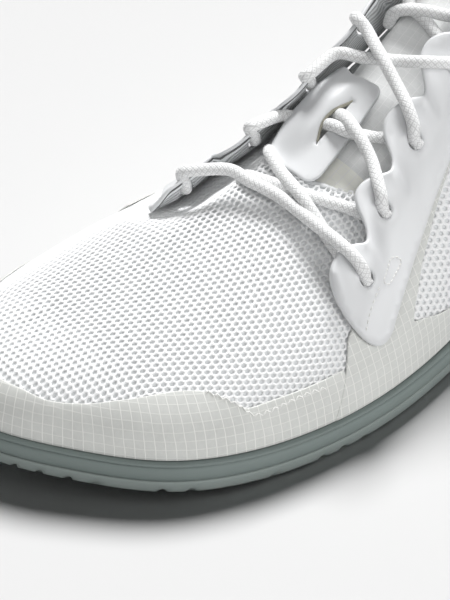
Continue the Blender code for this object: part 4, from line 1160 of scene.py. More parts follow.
def rubber_look(name, base, rough=0.55):
    """Moulded rubber: matte, finely pebbled, with faint mould marks."""
    look = Look(name, base, rough, Specular_IOR_Level=0.4)
    cloud = look.noise(look.space(), 0.06, 4.0)
    pebble = look.noise(look.space(), 3.2, 3.0)
    look.set("Base Color", look.mix(cloud, tone(base, 0.92), tone(base, 1.08)))
    look.set("Roughness", rough + cloud * 0.14 - 0.07)
    look.bump(pebble, 0.22, 0.00015)
    return look.material


def rib_look(name, base):
    """Ribbed grey lining on the underside of the eyestays, with a lighter band near its edge and a painted
    dark line of shade at the edge itself.
    """
    look = Look(name, base, 0.85, Sheen_Weight=0.2)
    x, _ = look.flat()
    wobble = look.noise(look.space(), 0.25) * 1.2
    rib = look.wave(x * (2 * math.pi / 0.95) + wobble) * 0.5 + 0.5
    cloth = look.mix(rib, tone(base, 0.62), tone(base, 1.15))
    cloth = look.mix(x < 1.3, cloth, tone(base, 1.5))
    # Painted shade: a dark line within 0.35 mm of the lining's edge stands for the shaded cut edge of the
    # film above it.
    look.set("Base Color", look.mix(x < 0.35, cloth, tone(base, 0.22)))
    look.bump(rib, 0.6, 0.0004)
    return look.material


# What the operators share
FLAT = Flat()
VAMP = Vamp()
ALONG, UP = 320.0, 85.0


def settings():
    return bpy.context.scene.shoe_sizes, bpy.context.scene.shoe_colours


def shade(field):
    return tuple(getattr(bpy.context.scene.shoe_colours, field))


def once(name, make):
    """The material of that name, made at its first use."""
    found = bpy.data.materials.get(name)
    return found or make(name)


def film_material():
    return once("satin_film", lambda name: film_look(name, shade("film")))


def ripstop_material():
    return once("woven_grid_film", lambda name: ripstop_look(
        name, shade("ripstop"), (0.86, 0.86, 0.83), 2.75, 0.17))


def thread_material():
    return once("thread", lambda name: film_look(name, (0.80, 0.80, 0.78), 0.6))


def sheet_place(points, height):
    """Points on the shoe at a height over flat stock points."""
    return skin(points[:, 0] / ALONG, points[:, 1] / UP, height)


def sheet_points(places):
    """Flat stock points from (u, v)."""
    return np.array(places, float) * (ALONG, UP)


def sole_ring(distance, height, stations=220):
    """Ring of the sole's plan with its rungs straight across, at a height over the spring."""
    outer, inner = halves(inset(OUTLINE, distance))
    start = outer[0, 1]
    end = min(outer[-1, 1], inner[-1, 1])
    share = (1 - np.cos(np.pi * np.arange(stations + 1) / stations)) / 2
    places = start + (end - start) * share
    sides = []
    for line in (outer, inner):
        order = np.argsort(line[:, 1])
        across = np.interp(places, line[order, 1], line[order, 0])
        across[[0, -1]] = line[[0, -1], 0]
        sides.append(np.stack([across, places, height + spring(places)], -1))
    return np.concatenate([sides[0], sides[1][-2:0:-1]])


def sole_piece(name, profile, shape=None):
    """Loft of rings (inset, height) with straight rungs above and below."""
    rings = [sole_ring(distance, height) for distance, height in profile]
    if shape:
        rings = [shape(k, ring) for k, ring in enumerate(rings)]
    count = len(rings[0])
    faces = ring_faces(len(rings), count)
    for start in (0, (len(rings) - 1) * count):
        for i in range(count // 2):
            corners = [i, i + 1, (count - i - 1) % count, (count - i) % count]
            faces.append([start + c for c in dict.fromkeys(corners)])
    points = np.concatenate(rings)
    return outward(mesh_object(name, points, faces, points[:, :2]))


# The pieces
class SHOE_OT_sole(bpy.types.Operator):
    """Upper band with its bead, lower band with mould notches, and the lugged tread."""
    bl_idname = "shoe.sole"
    bl_label = "Sole"
    SUNK = 0.12

    def execute(self, context):
        sizes, _ = settings()
        upper_band = [
            (2.8, 4.50), (0.85, 4.52), (0.40, 4.78), (0.14, 5.3), (0.02, 6.1), (0.0, 7.0),
            (0.08, 8.0), (0.30, 8.7), (0.62, 9.12), (1.05, 9.34), (1.10, 9.50), (0.68, 9.62),
            (0.36, 9.85), (0.28, 10.15), (0.42, 10.50), (0.80, 10.72), (1.6, 10.78), (2.5, 10.72),
            (3.1, 10.3), (3.2, 9.0), (3.2, FLOOR_TOP),
        ]
        rubber = once("band_rubber", lambda name: rubber_look(name, shade("rubber")))
        settle(sole_piece("sole_upper_band", upper_band), rubber, ["midsole"])
        lower_band = [
            (6.8, TREAD_DEPTH), (6.3, 0.18), (5.9, 0.0), (1.7, 0.0), (1.2, 0.06), (0.85, 0.35),
            (0.72, 0.9), (0.66, 1.6), (0.60, 3.3), (0.66, 3.80), (0.95, 4.10), (2.8, 4.14),
        ]
        tread = once("tread_rubber", lambda name: rubber_look(name, shade("tread"), 0.62))
        settle(sole_piece("sole_lower_band", lower_band, self.notch), tread, ["outsole"])
        self.lugs(sizes, tread)
        return {"FINISHED"}

    def notch(self, k, ring):
        """Small mould notches in the lower edge, every few millimetres."""
        lift = {3: 0.0, 4: 0.75, 5: 0.75, 6: 0.45}.get(k)
        if lift is None:
            return ring
        far = travel(ring)
        near = np.abs((far + 2 * np.sin(far / 19)) % 8.0 - 4.0) < 0.55
        ring = ring.copy()
        middle = np.array([0.0, LENGTH / 2])
        ring[near, 2] += lift
        ring[near, :2] += (middle - ring[near, :2]) * 0.006
        return ring

    def lugs(self, sizes, look):
        """Six-sided lugs over the tread, clear of its rim."""
        pitch = sizes.lug_pitch
        field = inset(OUTLINE, 8.6)[::12]

        def keep(centres):
            flipped = centres * (-1, 1)
            return inside_loop(flipped, field) & (edge_distance(flipped, [field]) > pitch * 0.22)

        def place(flat):
            return np.stack([-flat[:, 0], flat[:, 1], TREAD_DEPTH - self.SUNK + spring(flat[:, 1])], -1)

        made = honeycomb("tread_lugs", (pitch, 0), (pitch / 2, pitch * 0.866), (-60, 0), (60, LENGTH),
                         keep, place)
        height = (TREAD_DEPTH - self.SUNK) * MM
        apply_tree(made, raise_tree(), {"Top": 0.80, "Height": height, "Finish": look})
        settle(made, None, [])


class SHOE_OT_footbed(bpy.types.Operator):
    """Foam insole with a cloth top."""
    bl_idname = "shoe.footbed"
    bl_label = "Footbed"

    def execute(self, context):
        edge_in, low = FEATHER_INSET + WALL + 0.7, FEATHER_Z
        top = low + INSOLE_THICK
        profile = [(edge_in, low), (edge_in - 0.1, low + 1.2), (edge_in, top - 0.7),
                   (edge_in + 0.4, top - 0.2), (edge_in + 1.2, top)]
        made = sole_piece("footbed", profile)
        look = once("footbed_cloth", lambda name: weave_look(name, shade("foam"), 0.9))
        settle(made, look, ["insole"])
        return {"FINISHED"}


class SHOE_OT_upper(bpy.types.Operator):
    """Inner shell of the upper: the lining that shows through the knit, and its bound throat, whose tape is
    a real binding toned darker as painted shade.
    """
    bl_idname = "shoe.upper"
    bl_label = "Upper"

    def execute(self, context):
        look = once("lining_cloth", lambda name: weave_look(name, shade("lining"), 0.7, 0.15))
        settle(self.shell(), look, ["upper"])
        # Painted shade: the tape is toned to 0.7 of the lining so that it reads as the shadow line along
        # the cloth's free edge.
        tape = once("throat_tape", lambda name: weave_look(name, tone(shade("lining"), 0.7), 0.6))
        settle(self.throat_binding(), tape, [])
        return {"FINISHED"}

    def shell(self, fine=12, columns=45):
        """Two layers joined at the sole, the throat and the collar, shut over the vamp."""
        rows = np.linspace(0, ROWS, ROWS * fine + 1)
        share = np.linspace(0, 1, columns)
        sheets, charts = [], []
        for height in (LINING_LIFT, -WALL):
            sides = []
            for side in (OUTER, INNER):
                u = signed(side, row_place(side, rows))
                u = np.where(u == 0, signed(side, 1e-6), u)
                v = share[None] * throat(u)[:, None]
                sides.append(skin(u[:, None], v, np.full(v.shape, height)))
                if height == LINING_LIFT:
                    wide_u = np.broadcast_to(u[:, None], v.shape)
                    charts.append(np.stack(FLAT.to_flat(wide_u, v), -1))
            outer, inner = sides
            closed = rows < 6
            for side in (OUTER, INNER):
                closed = closed & (throat(signed(side, row_place(side, rows))) > 0.9999)
            middle = (outer[:, -3] + inner[:, -3]) / 2
            for flank in (outer, inner):
                flank[closed, -1] = middle[closed]
                flank[closed, -2] = (flank[closed, -3] + middle[closed]) / 2
            for k in (0, -1):
                outer[k] = inner[k] = (outer[k] + inner[k]) / 2
            sheets.append(np.concatenate([outer[::-1], inner[1:-1]]))
        chart = np.concatenate([charts[0][::-1], charts[1][1:-1]])
        ring = sheets[0].shape[0]
        shut = np.concatenate([closed[::-1], closed[1:-1]])
        total = ring * columns
        faces = grid_faces(ring, columns, 0, True)
        faces += [tuple(n + total for n in f[::-1]) for f in faces]
        for i in range(ring):
            n = (i + 1) % ring
            a, b = i * columns, n * columns
            faces.append((a, a + total, b + total, b))
            if not (shut[i] and shut[n]):
                a, b = a + columns - 1, b + columns - 1
                faces.append((a, b, b + total, a + total))
        points = np.concatenate([sheet.reshape(-1, 3) for sheet in sheets])
        charts = np.concatenate([chart.reshape(-1, 2)] * 2)
        return outward(mesh_object("upper_lining", points, faces, charts))

    def throat_binding(self):
        """Narrow folded tape along the free edge of the cloth, from eyestay to eyestay."""
        outer_w = np.concatenate([np.linspace(0.700, 0.450, 60), np.linspace(0.449, 0.4242, 40)])
        inner_w = np.concatenate([np.linspace(0.4142, 0.455, 50), np.linspace(0.456, 0.700, 60)])
        u = np.concatenate([outer_w, -inner_w])
        v = np.minimum(throat(u), 0.9995)
        here = even(skin(u, v, -0.6), 1.2)
        far = travel(skin(u, v, 0.0))
        at = np.linspace(0, far[-1], len(here))
        side_u, side_v = read_line(np.stack([u, v], -1), far, at).T
        side_u = np.where(np.abs(side_u) < 0.4, 0.4242, side_u)
        ahead = unit(np.gradient(here, axis=0))
        away = unit(np.cross(last_normal(side_u, side_v), ahead))
        chart = np.stack(np.meshgrid(np.arange(12.0), at), -1).reshape(-1, 2)
        return rod("throat_tape", here, away, np.cross(ahead, away), 0.9, 0.55, 12, chart)


class SHOE_OT_knit(bpy.types.Operator):
    """Open knit of the vamp and of both quarters, with real holes."""
    bl_idname = "shoe.knit"
    bl_label = "Knit"

    def execute(self, context):
        sizes, _ = settings()
        tree = perforate_tree()
        look = once("knit_yarn", lambda name: knit_look(name, shade("knit")))
        half, row = sizes.knit_pitch / 2, sizes.knit_row
        vamp = honeycomb("vamp_knit", (half, row), (-half, row), (-64, 8), (64, 134),
                         self.on_vamp, self.lay_vamp)
        pieces = [(vamp, sizes.knit_hole)]
        for side, low, high in ((OUTER, (60, 0), (345, 110)), (INNER, (-345, 0), (-60, 110))):
            def on_quarter(centres, side=side):
                return self.on_quarter(centres, side)

            first, second = (signed(side, 2.6), -1.3), (signed(side, 1.78), 1.1)
            quarter = honeycomb("quarter_knit_" + word(side), first, second, low, high,
                                on_quarter, self.lay_quarter)
            pieces.append((quarter, sizes.knit_hole * 0.92))
        for made, opening in pieces:
            depth = sizes.knit_depth * MM
            apply_tree(made, tree, {"Open": opening, "Depth": depth, "Finish": look})
            settle(made, None, [])
        return {"FINISHED"}

    def on_vamp(self, centres):
        """Which cells lie between the films, the throat and the eyestays."""
        places = VAMP.place(centres[:, 0], centres[:, 1])
        u, v = places[:, 0], places[:, 1]
        good = ~np.isnan(u)
        u, v = np.nan_to_num(u), np.nan_to_num(v)
        w = np.abs(u)
        low = each_side(u, self.film_edge) - 0.055
        foot = each_side(u, lambda side, w: edge(STAY_FOOT[side], w)) + 0.03
        behind = np.where(u >= 0, w > 0.386, w > 0.350)
        below = (v < throat(u) - 0.006) | (throat(u) > 0.999)
        return good & (v > np.where(behind, foot, low)) & below & (w < 0.60)

    def film_edge(self, side, w):
        return np.where(w < KNIT_FROM_GUARD[side], edge(TOE_GUARD[side], w), edge(PANEL[side], w))

    def lay_vamp(self, flat):
        return VAMP.skin(flat[:, 0], flat[:, 1], KNIT_LIFT)

    def on_quarter(self, centres, side):
        """Which cells lie between panel or counter and eyestay or collar."""
        u, v = FLAT.to_last(centres[:, 0], centres[:, 1])
        w = np.abs(u)
        foot = edge(STAY_FOOT[side], w) + 0.03
        low = np.where(w < 0.752, edge(PANEL[side], w), edge(COUNTER_EDGE, w)) - 0.05
        high = np.where(w < 0.665, foot, throat(u) - 0.03)
        start = 0.395 if side == OUTER else 0.325
        inside = (u > 0) if side == OUTER else (u < 0)
        return inside & (w > start) & (w < 0.995) & (v > low) & (v < high)

    def lay_quarter(self, flat):
        u, v = FLAT.to_last(flat[:, 0], flat[:, 1])
        return skin(u, v, KNIT_LIFT)


class SHOE_OT_films(bpy.types.Operator):
    """Bonded films: toe guard, side panels and heel counter."""
    bl_idname = "shoe.films"
    bl_label = "Films"

    def execute(self, context):
        ripstop = ripstop_material()
        upper_edge = self.edge_line(TOE_GUARD_OUTER, GUARD_END[OUTER], 0, 70)
        upper_edge += [(-w, v) for w, v in self.edge_line(TOE_GUARD_INNER, 0.005, GUARD_END[INNER], 62)]
        lower_edge = self.foot_line(-GUARD_END[INNER], GUARD_END[OUTER], 60)
        guard = self.film("toe_guard_film", upper_edge + lower_edge, 0.14, 0.42)
        settle(guard, ripstop, ["toe_guard"])
        for side in (OUTER, INNER):
            start, lean = PANEL_START[side], PANEL_LEAN[side]
            front = [(start + lean * f**1.15, FILM_FOOT + (0.405 - FILM_FOOT) * f)
                     for f in np.linspace(0, 0.93, 12)]
            if side == OUTER:
                front += [tuple(place) for place in smooth_line(STAY_STRIP, 6)]
                front += [(0.4375, 0.276), (0.4500, 0.258)]
                top = self.edge_line(PANEL[side], 0.470, PANEL_END, 50)
            else:
                top = self.edge_line(PANEL[side], start + lean + 0.006, PANEL_END, 60)
            low = self.foot_line(PANEL_END, start + 0.004, 50)
            places = [(signed(side, w), v) for w, v in front + top + low]
            panel = self.film("side_panel_film_" + word(side), places, 0.34, 0.42)
            settle(panel, ripstop, ["side_panel_" + word(side)])
        top = self.edge_line(COUNTER_EDGE, COUNTER_START, 1.0, 50)
        top += [(2 - w, v) for w, v in top[-2::-1]]
        low = self.foot_line(2 - COUNTER_START, COUNTER_START, 80)
        counter = self.film("heel_counter_film", top + low, 0.3, 0.75)
        settle(counter, film_material(), ["heel_counter"])
        return {"FINISHED"}

    def edge_line(self, table, start, end, count):
        return [(w, float(edge(table, w))) for w in np.linspace(start, end, count)]

    def foot_line(self, start, end, count):
        return [(u, FILM_FOOT) for u in np.linspace(start, end, count)]

    def film(self, name, places, low, thick):
        """Film bonded to the upper, its outline given as (u, v)."""
        def chart(points):
            u = points[:, 0] / ALONG
            run, rise = FLAT.to_flat(np.where(u > 1, u - 2, u), points[:, 1] / UP)
            whole = FLAT.run[-1] - FLAT.run[0]
            return np.stack([np.where(u > 1, run + whole, run), rise], -1)

        def base(points):
            return np.full(len(points), low)

        return cut_sheet(name, sheet_points(places), [], sheet_place, base, thick,
                         spacing=2.2, pitch=1.3, soft=0.5, to_flat=chart)


def stay_outline(side):
    """Outline of an eyestay as (w, v)."""
    if side == OUTER:
        return OUTER_STAY_OUTLINE
    front = [(w, stay_front(side, w)) for w in np.arange(0.294, 0.662, 0.006)]
    rear = [(0.668, 0.800), (0.668, 0.735)]
    for w in np.arange(0.655, 0.296, -0.010):
        tip = stay_front(side, w) - 0.02 - max(0.0, w - 0.288) * 5
        rear.append((w, max(float(edge(INNER_STAY_FOOT, w)), tip)))
    return front + rear


class SHOE_OT_eyestays(bpy.types.Operator):
    """Lobed films with lace holes, each with a ribbed lining under its lobes."""
    bl_idname = "shoe.eyestays"
    bl_label = "Eyestays"

    def execute(self, context):
        rib = once("ribbed_lining", lambda name: rib_look(name, tone(shade("lining"), 0.70)))
        for side in (OUTER, INNER):
            places = [(signed(side, w), v) for w, v in stay_outline(side)]
            outline = smooth_line(sheet_points(places), 4, True)
            film = self.cut(side, "eyestay_film_" + word(side), outline, 0.0, STAY_THICK, 0.0)
            settle(film, film_material(), ["eyestay_" + word(side)])
            room = 1.5 if side == OUTER else 0.5
            inner = inset(even(outline, 1.0, True), -room if turning(outline) > 0 else room)
            inner = inner[edge_distance(inner, [outline]) > room * 0.9]
            under = self.cut(side, "eyestay_lining_" + word(side), inner, -0.62, 0.55, 0.5)
            settle(under, rib, [])
        return {"FINISHED"}

    def cut(self, side, name, outline, drop, thick, wider):
        """Layer of an eyestay with its lace holes; the UV map gives the distance to its edge."""
        sizes, _ = settings()
        holes = []
        for number in range(LACE_HOLES):
            w, v = lace_hole(side, number)
            u = signed(side, w)
            along_mm = np.linalg.norm(last(u + 0.002, v) - last(u - 0.002, v)) / (0.004 * ALONG)
            up_mm = np.linalg.norm(last(u, v + 0.005) - last(u, v - 0.005)) / (0.010 * UP)
            radius = sizes.hole_radius + wider
            holes.append(circle((u * ALONG, v * UP), radius, (1 / along_mm, 1 / up_mm)))

        def base(points):
            u, v = points[:, 0] / ALONG, points[:, 1] / UP
            return np.array([stay_height(side, abs(a), b) for a, b in zip(u, v)]) + drop

        def rim_chart(points):
            return np.stack([edge_distance(points, [outline]), points[:, 0]], -1)

        return cut_sheet(name, outline, holes, sheet_place, base, thick, spacing=1.7, pitch=0.9, soft=0.75,
                         to_flat=rim_chart, bead=0.0 if drop else 0.32)


class SHOE_OT_tongue(bpy.types.Operator):
    """Thin padded tongue of grid cloth, with a plain strip at its foot."""
    bl_idname = "shoe.tongue"
    bl_label = "Tongue"
    TIP = ((4.5, 3.6, 0.85, 1.0), (8.5, 7.6, 0.70, 0.98), (11.5, 11.4, 0.58, 0.92),
           (12.7, 13.4, 0.52, 0.84), (13.2, 14.4, 0.50, 0.74))

    def execute(self, context):
        share = np.linspace(-1, 1, 37)
        sheets = [self.layer(share, above) for above in (1, -1)]
        sheet = sheets[0]
        rows, columns = sheet.shape[:2]
        run = travel(sheet[:, columns // 2])
        chart = np.stack(np.broadcast_arrays(share[None] * 25.5, run[:, None]), -1).reshape(-1, 2)
        total = rows * columns
        faces = grid_faces(rows, columns)
        faces += [tuple(n + total for n in f[::-1]) for f in faces]
        border = [i * columns for i in range(rows)]
        border += [(rows - 1) * columns + j for j in range(1, columns)]
        border += [i * columns + columns - 1 for i in range(rows - 2, -1, -1)]
        border += list(range(columns - 2, 0, -1))
        faces += [(a, b, b + total, a + total) for a, b in zip(border, border[1:] + border[:1])]
        points = np.concatenate([sheet.reshape(-1, 3) for sheet in sheets])
        made = outward(mesh_object("tongue_cloth", points, faces, np.concatenate([chart, chart])))
        look = once("tongue_grid", lambda name: ripstop_look(
            name, shade("tongue"), (0.95, 0.95, 0.95), 2.5, 0.12, 0.12, (24.0, (1.0, 1.0, 0.93))))
        settle(made, look, ["tongue"])
        return {"FINISHED"}

    def layer(self, share, above):
        """Upper (1) or lower (-1) face: along the throat, then free over its top end."""
        numbers = np.arange(13 / 3, 9.001, 0.125)
        plump = 1 - np.abs(share) ** 6 * 0.75
        height = TONGUE_TOP + (above * plump - 1) * TONGUE_THICK / 2
        lines = []
        for number in numbers:
            taper = min(0.88 + 0.12 * (number - numbers[0]) / 0.9, 1.0)
            taper *= 1 - 0.30 * max((number - 7.0) / 2.0, 0.0)
            across = share * np.where(share >= 0, 35.0, 24.5) * taper
            lines.append(dorsal(np.full(len(share), number), across, height))
        base = lines[-1]
        centre = base[len(share) // 2]
        tips = []
        for ahead, up, flat, narrow in self.TIP:
            moved = base.copy()
            moved[:, 0] = centre[0] + (base[:, 0] - centre[0]) * narrow
            moved[:, 1] += ahead
            moved[:, 2] = centre[2] + (base[:, 2] - centre[2]) * flat + up
            tips.append(moved)
        return np.concatenate([lines[:-3], smooth_line([lines[-3], base] + tips, 4)])


class SHOE_OT_keeper(bpy.types.Operator):
    """Smooth film over the tongue, with a crescent slit that the cord passes through."""
    bl_idname = "shoe.keeper"
    bl_label = "Lace keeper"

    def execute(self, context):
        corners = ((15.6, 107.6, 3.4, -90), (12.4, 138.0, 3.4, 0),
                   (-6.8, 138.0, 4.0, 90), (-6.6, 107.6, 6.5, 180))
        outline = []
        for x, t, corner, turn in corners:
            middle = (x - corner if x > 0 else x + corner, t - corner if t > 120 else t + corner)
            for k in range(10):
                angle = math.radians(turn + 90 * k / 9)
                outline.append((middle[0] + corner * math.cos(angle),
                                middle[1] + corner * math.sin(angle)))
        f = np.linspace(0, 1, 20)
        slit = np.concatenate([
            np.stack([6.9 - 0.5 * f, 117.4 + 14.2 * f], -1),
            np.stack([6.4 + 0.5 * f - 2.4 * np.sin(np.pi * f), 131.6 - 14.2 * f], -1)[1:-1]])

        def base(points):
            across, station = points[:, 0], points[:, 1]
            over = ease((station - 108.0) / 13.0) * ease((140.5 - station) / 13.0)
            return TAB_LOW + 3.0 * over * (1 - ease((across - 2.6) / 4.6))

        def place(points, height):
            return dorsal(ridge_row(points[:, 1]), points[:, 0], height)

        made = cut_sheet("lace_keeper_film", outline, [slit], place, base, 1.1,
                         spacing=1.2, pitch=0.8, soft=0.45)
        settle(made, film_material(), ["lace_keeper_tab"])
        lip = smooth_line(slit[19:] + (0.15, 0.0), 3)
        line = place(lip, base(lip) + 0.52)
        ahead = unit(np.gradient(line, axis=0))
        side = unit(np.cross(ahead, (0.0, 0.0, 1.0)))
        made = rod("lace_keeper_lip", line, side, np.cross(side, ahead), 0.32, 0.66, 8,
                   np.zeros((len(line) * 8, 2)))
        core = once("film_core", lambda name: rubber_look(name, (0.34, 0.33, 0.27), 0.7))
        settle(made, core, [])
        return {"FINISHED"}


class SHOE_OT_laces(bpy.types.Operator):
    """Round braided cord through the lace holes and the keeper."""
    bl_idname = "shoe.laces"
    bl_label = "Laces"

    def execute(self, context):
        sizes, _ = settings()
        look = once("braided_cord", lambda name: braid_look(name, shade("cord")))
        for name, routes in CORD_ROUTES.items():
            points, faces, charts = [], [], []
            for start, finish, route in routes:
                line = [skin(*place) for place in route]
                line = self.end(*start, sizes.cord_radius, line[0])[::-1] + line
                line += self.end(*finish, sizes.cord_radius, line[-1])
                path = even(smooth_line(line, 10), 0.7)
                for _ in range(14):
                    path[1:-1] = (path[:-2] + 2 * path[1:-1] + path[2:]) / 4
                self.tube(path, sizes.cord_radius, points, faces, charts)
            made = mesh_object(name + "_cord", np.concatenate(points), faces, np.concatenate(charts))
            settle(outward(made), look, [name])
        return {"FINISHED"}

    def end(self, side, number, kind, radius, coming):
        """Points that take the cord through a lace hole from above, or tuck it under a lobe."""
        w, v = lace_hole(side, number)
        u = signed(side, w)
        if kind == "under":
            return [] if side == INNER else [skin(u, v + 0.02, 2.3), skin(u, v - 0.03, 2.3)]
        points = []
        if side == INNER:
            front = stay_front(side, w)
            for place, share in ((front + 0.014, 0.95), (front - 0.016, 0.85)):
                height = stay_height(side, w, min(place, front)) + STAY_THICK + radius * share
                points.append(skin(u, place, height))
            coming = points[-1]
        top = skin(u, v, stay_height(side, w, v) + STAY_THICK)
        normal = last_normal(u, v)
        way = top - coming
        way = unit(way - normal * way.dot(normal))
        turn = ((-3.2, radius + 0.3), (-1.5, 1.0), (-0.2, -1.0), (0.1, -3.2), (-1.5, -4.6))
        if side == INNER:
            turn = ((-1.5, 1.0), (-0.3, -0.5), (-0.1, -1.3))
        for ahead, up in turn:
            points.append(top + way * ahead + normal * up)
        return points

    def tube(self, path, radius, points, faces, charts, sides=14):
        """Adds a closed round tube along the path to the lists."""
        ahead = unit(np.gradient(path, axis=0))
        angle = np.linspace(0, 2 * np.pi, sides + 1)
        start = sum(len(p) for p in points)
        upright = np.array([0.0, 0.0, 1.0])
        rings = []
        for k, (here, way) in enumerate(zip(path, ahead)):
            upright = upright - way * upright.dot(way)
            upright /= np.linalg.norm(upright)
            across = np.cross(way, upright)
            size = 0.02 if k in (0, len(path) - 1) else radius
            around = np.cos(angle)[:, None] * upright + np.sin(angle)[:, None] * across
            rings.append(here + size * around)
        points.append(np.concatenate(rings))
        faces += grid_faces(len(path), sides + 1, start)
        for first in (start, start + (len(path) - 1) * (sides + 1)):
            faces.append(tuple(range(first, first + sides)))
        chart = np.broadcast_arrays((angle / (2 * np.pi))[None], travel(path)[:, None])
        charts.append(np.stack(chart, -1).reshape(-1, 2))


class SHOE_OT_collar(bpy.types.Operator):
    """Bound collar and the pull loop at the heel."""
    bl_idname = "shoe.collar"
    bl_label = "Collar"

    def execute(self, context):
        look = once("collar_tape", lambda name: weave_look(name, shade("binding"), 0.8, 0.35))
        settle(self.binding(), look, ["collar_binding"])
        settle(self.loop(), look, ["heel_loop"])
        return {"FINISHED"}

    def binding(self):
        """Padded tape folded over the collar's edge."""
        profile = smooth_line([
            (0.5, -6.2), (1.7, -6.2), (2.0, -3.0), (1.8, -0.4), (0.8, 1.6), (-1.2, 2.3), (-3.0, 1.5),
            (-3.9, -0.5), (-4.0, -3.5), (-3.9, -6.2), (-2.4, -6.2), (-2.2, -2.0), (-1.0, -0.8),
            (0.3, -2.0)], 3, True)
        rows = np.linspace(9.35, ROWS, 110)
        u = np.concatenate([row_place(OUTER, rows), -row_place(INNER, rows)[-2::-1]])
        v = throat(u)
        here = last(u, v)
        up = unit(here - last(u, v - 0.03))
        out = last_normal(u, v - 0.01)
        rings = here[:, None] + out[:, None] * profile[None, :, :1] + up[:, None] * profile[None, :, 1:]
        around = np.linspace(0, 34, len(profile))
        chart = np.stack(np.broadcast_arrays(around[None], travel(here)[:, None]), -1).reshape(-1, 2)
        return loft("collar_tape", rings, chart)

    def loop(self):
        """Flat band that runs round a slot, upright behind the heel."""
        width, thick = 11.0, 1.3
        back = last(np.array(1.0), np.array(1.0))
        half = thick + 1.1
        centre_y = back[1] + 2.5 + half
        low, high = back[2] - 12.0, back[2] + 13.0
        rings = []
        for size, bottom in ((half, low), (half - thick, high - 11)):
            for start, z in ((0.0, high), (math.pi, bottom)):
                for k in range(13):
                    angle = start + math.pi * k / 12
                    rings.append((centre_y + size * math.cos(angle), z + size * math.sin(angle)))
        count = len(rings) // 2
        points = [(x, y, z) for x in (-width / 2, width / 2) for y, z in rings]
        shift = len(rings)
        faces = []
        for i in range(count):
            n = (i + 1) % count
            faces += [(i, n, n + shift, i + shift),
                      (count + i, count + i + shift, count + n + shift, count + n),
                      (i, count + i, count + n, n),
                      (i + shift, n + shift, count + n + shift, count + i + shift)]
        chart = np.array([(p[0], p[2]) for p in points])
        made = outward(mesh_object("heel_loop_tape", points, faces, chart))
        bevel = made.modifiers.new("soft edges", "BEVEL")
        bevel.width = 0.35 * MM
        bevel.segments = 2
        bevel.limit_method = "ANGLE"
        return made


class SHOE_OT_stitching(bpy.types.Operator):
    """Thread: zigzag on the toe guard, dashes on the eyestay, rows on counter and collar."""
    bl_idname = "shoe.stitching"
    bl_label = "Stitching"
    SINK = np.array([-0.22, 0.06, 0.06, -0.22])

    def execute(self, context):
        sizes, _ = settings()
        stitches = []
        seam = smooth_line([
            (0.2249, 0.392), (0.2341, 0.362), (0.2406, 0.338), (0.2498, 0.300), (0.2562, 0.256),
            (0.2636, 0.235), (0.2793, 0.240), (0.3032, 0.253), (0.3235, 0.250), (0.3327, 0.240)], 12)
        stitches += self.zigzag(seam, 0.62, 1.3, 0.62)
        tip = smooth_line([(0.3834, 0.376), (0.3917, 0.411), (0.4000, 0.440), (0.4074, 0.460),
                           (0.4157, 0.479), (0.4200, 0.487)], 12)
        stitches += self.dashes(tip, OUTER, 1.3, 0.7)
        tack = smooth_line([(0.4212, 0.484), (0.4249, 0.464), (0.4351, 0.477), (0.4461, 0.494),
                            (0.4452, 0.515), (0.4388, 0.525), (0.4295, 0.504)], 8, True)
        stitches += self.dashes(np.concatenate([tack, tack[:1]]), OUTER, 1.1, 0.3)
        for side in (OUTER, INNER):
            end = [(0.655, v) for v in np.linspace(0.740, 0.805, 8)]
            stitches += self.dashes(np.array(end), side, 1.4, 0.6)
            u = signed(side, np.linspace(0.765, 0.998, 60))
            counter = np.stack([u, edge(COUNTER_EDGE, np.abs(u)) - 0.022], -1)
            stitches += self.row(counter, sizes.stitch, 0.7, 1.10)
            u = signed(side, np.linspace(0.70, 0.998, 80))
            stitches += self.row(np.stack([u, throat(u) - 0.062], -1), sizes.stitch, 0.7, 1.62)
        points, edges = [], []
        for stitch in stitches:
            edges += [(len(points) + k, len(points) + k + 1) for k in range(len(stitch) - 1)]
            points += list(stitch)
        mesh = bpy.data.meshes.new("stitching")
        mesh.from_pydata(to_world(points).tolist(), edges, [])
        made = bpy.data.objects.new("stitching", mesh)
        context.scene.collection.objects.link(made)
        apply_tree(made, stitch_tree(), {"Thread": sizes.thread * MM, "Finish": thread_material()})
        settle(made, None, [])
        return {"FINISHED"}

    def split(self, line, pitch, gap):
        """Cut a line of (u, v) into the places of single stitches."""
        far = travel(last(line[:, 0], line[:, 1]))
        places = []
        for start in np.arange(0, far[-1] - pitch, pitch + gap):
            at = start + pitch * np.array([0, 0.25, 0.75, 1])
            places.append(read_line(line, far, at))
        return places

    def row(self, line, pitch, gap, height):
        """Straight stitches along a line of (u, v) on the upper."""
        return [skin(p[:, 0], p[:, 1], height + self.SINK) for p in self.split(line, pitch, gap)]

    def dashes(self, line, side, pitch, gap):
        """Stitches that lie on an eyestay; the line is (w, v)."""
        result = []
        for p in self.split(line * (signed(side, 1.0), 1.0), pitch, gap):
            height = np.array([stay_height(side, abs(u), v) for u, v in p]) + STAY_THICK
            result.append(skin(p[:, 0], p[:, 1], height + self.SINK))
        return result

    def zigzag(self, line, height, pitch, swing):
        """Stitches from side to side of a line of (u, v)."""
        far = travel(last(line[:, 0], line[:, 1]))
        at = np.arange(0, far[-1], pitch)
        u, v = read_line(line, far, at).T
        v = v + swing / 75.0 * np.where(np.arange(len(at)) % 2, 1, -1)
        f = np.array([0.04, 0.3, 0.7, 0.96])
        result = []
        for k in range(len(at) - 1):
            result.append(skin(u[k] + (u[k + 1] - u[k]) * f, v[k] + (v[k + 1] - v[k]) * f,
                               height + np.array([-0.2, 0.07, 0.07, -0.2])))
        return result


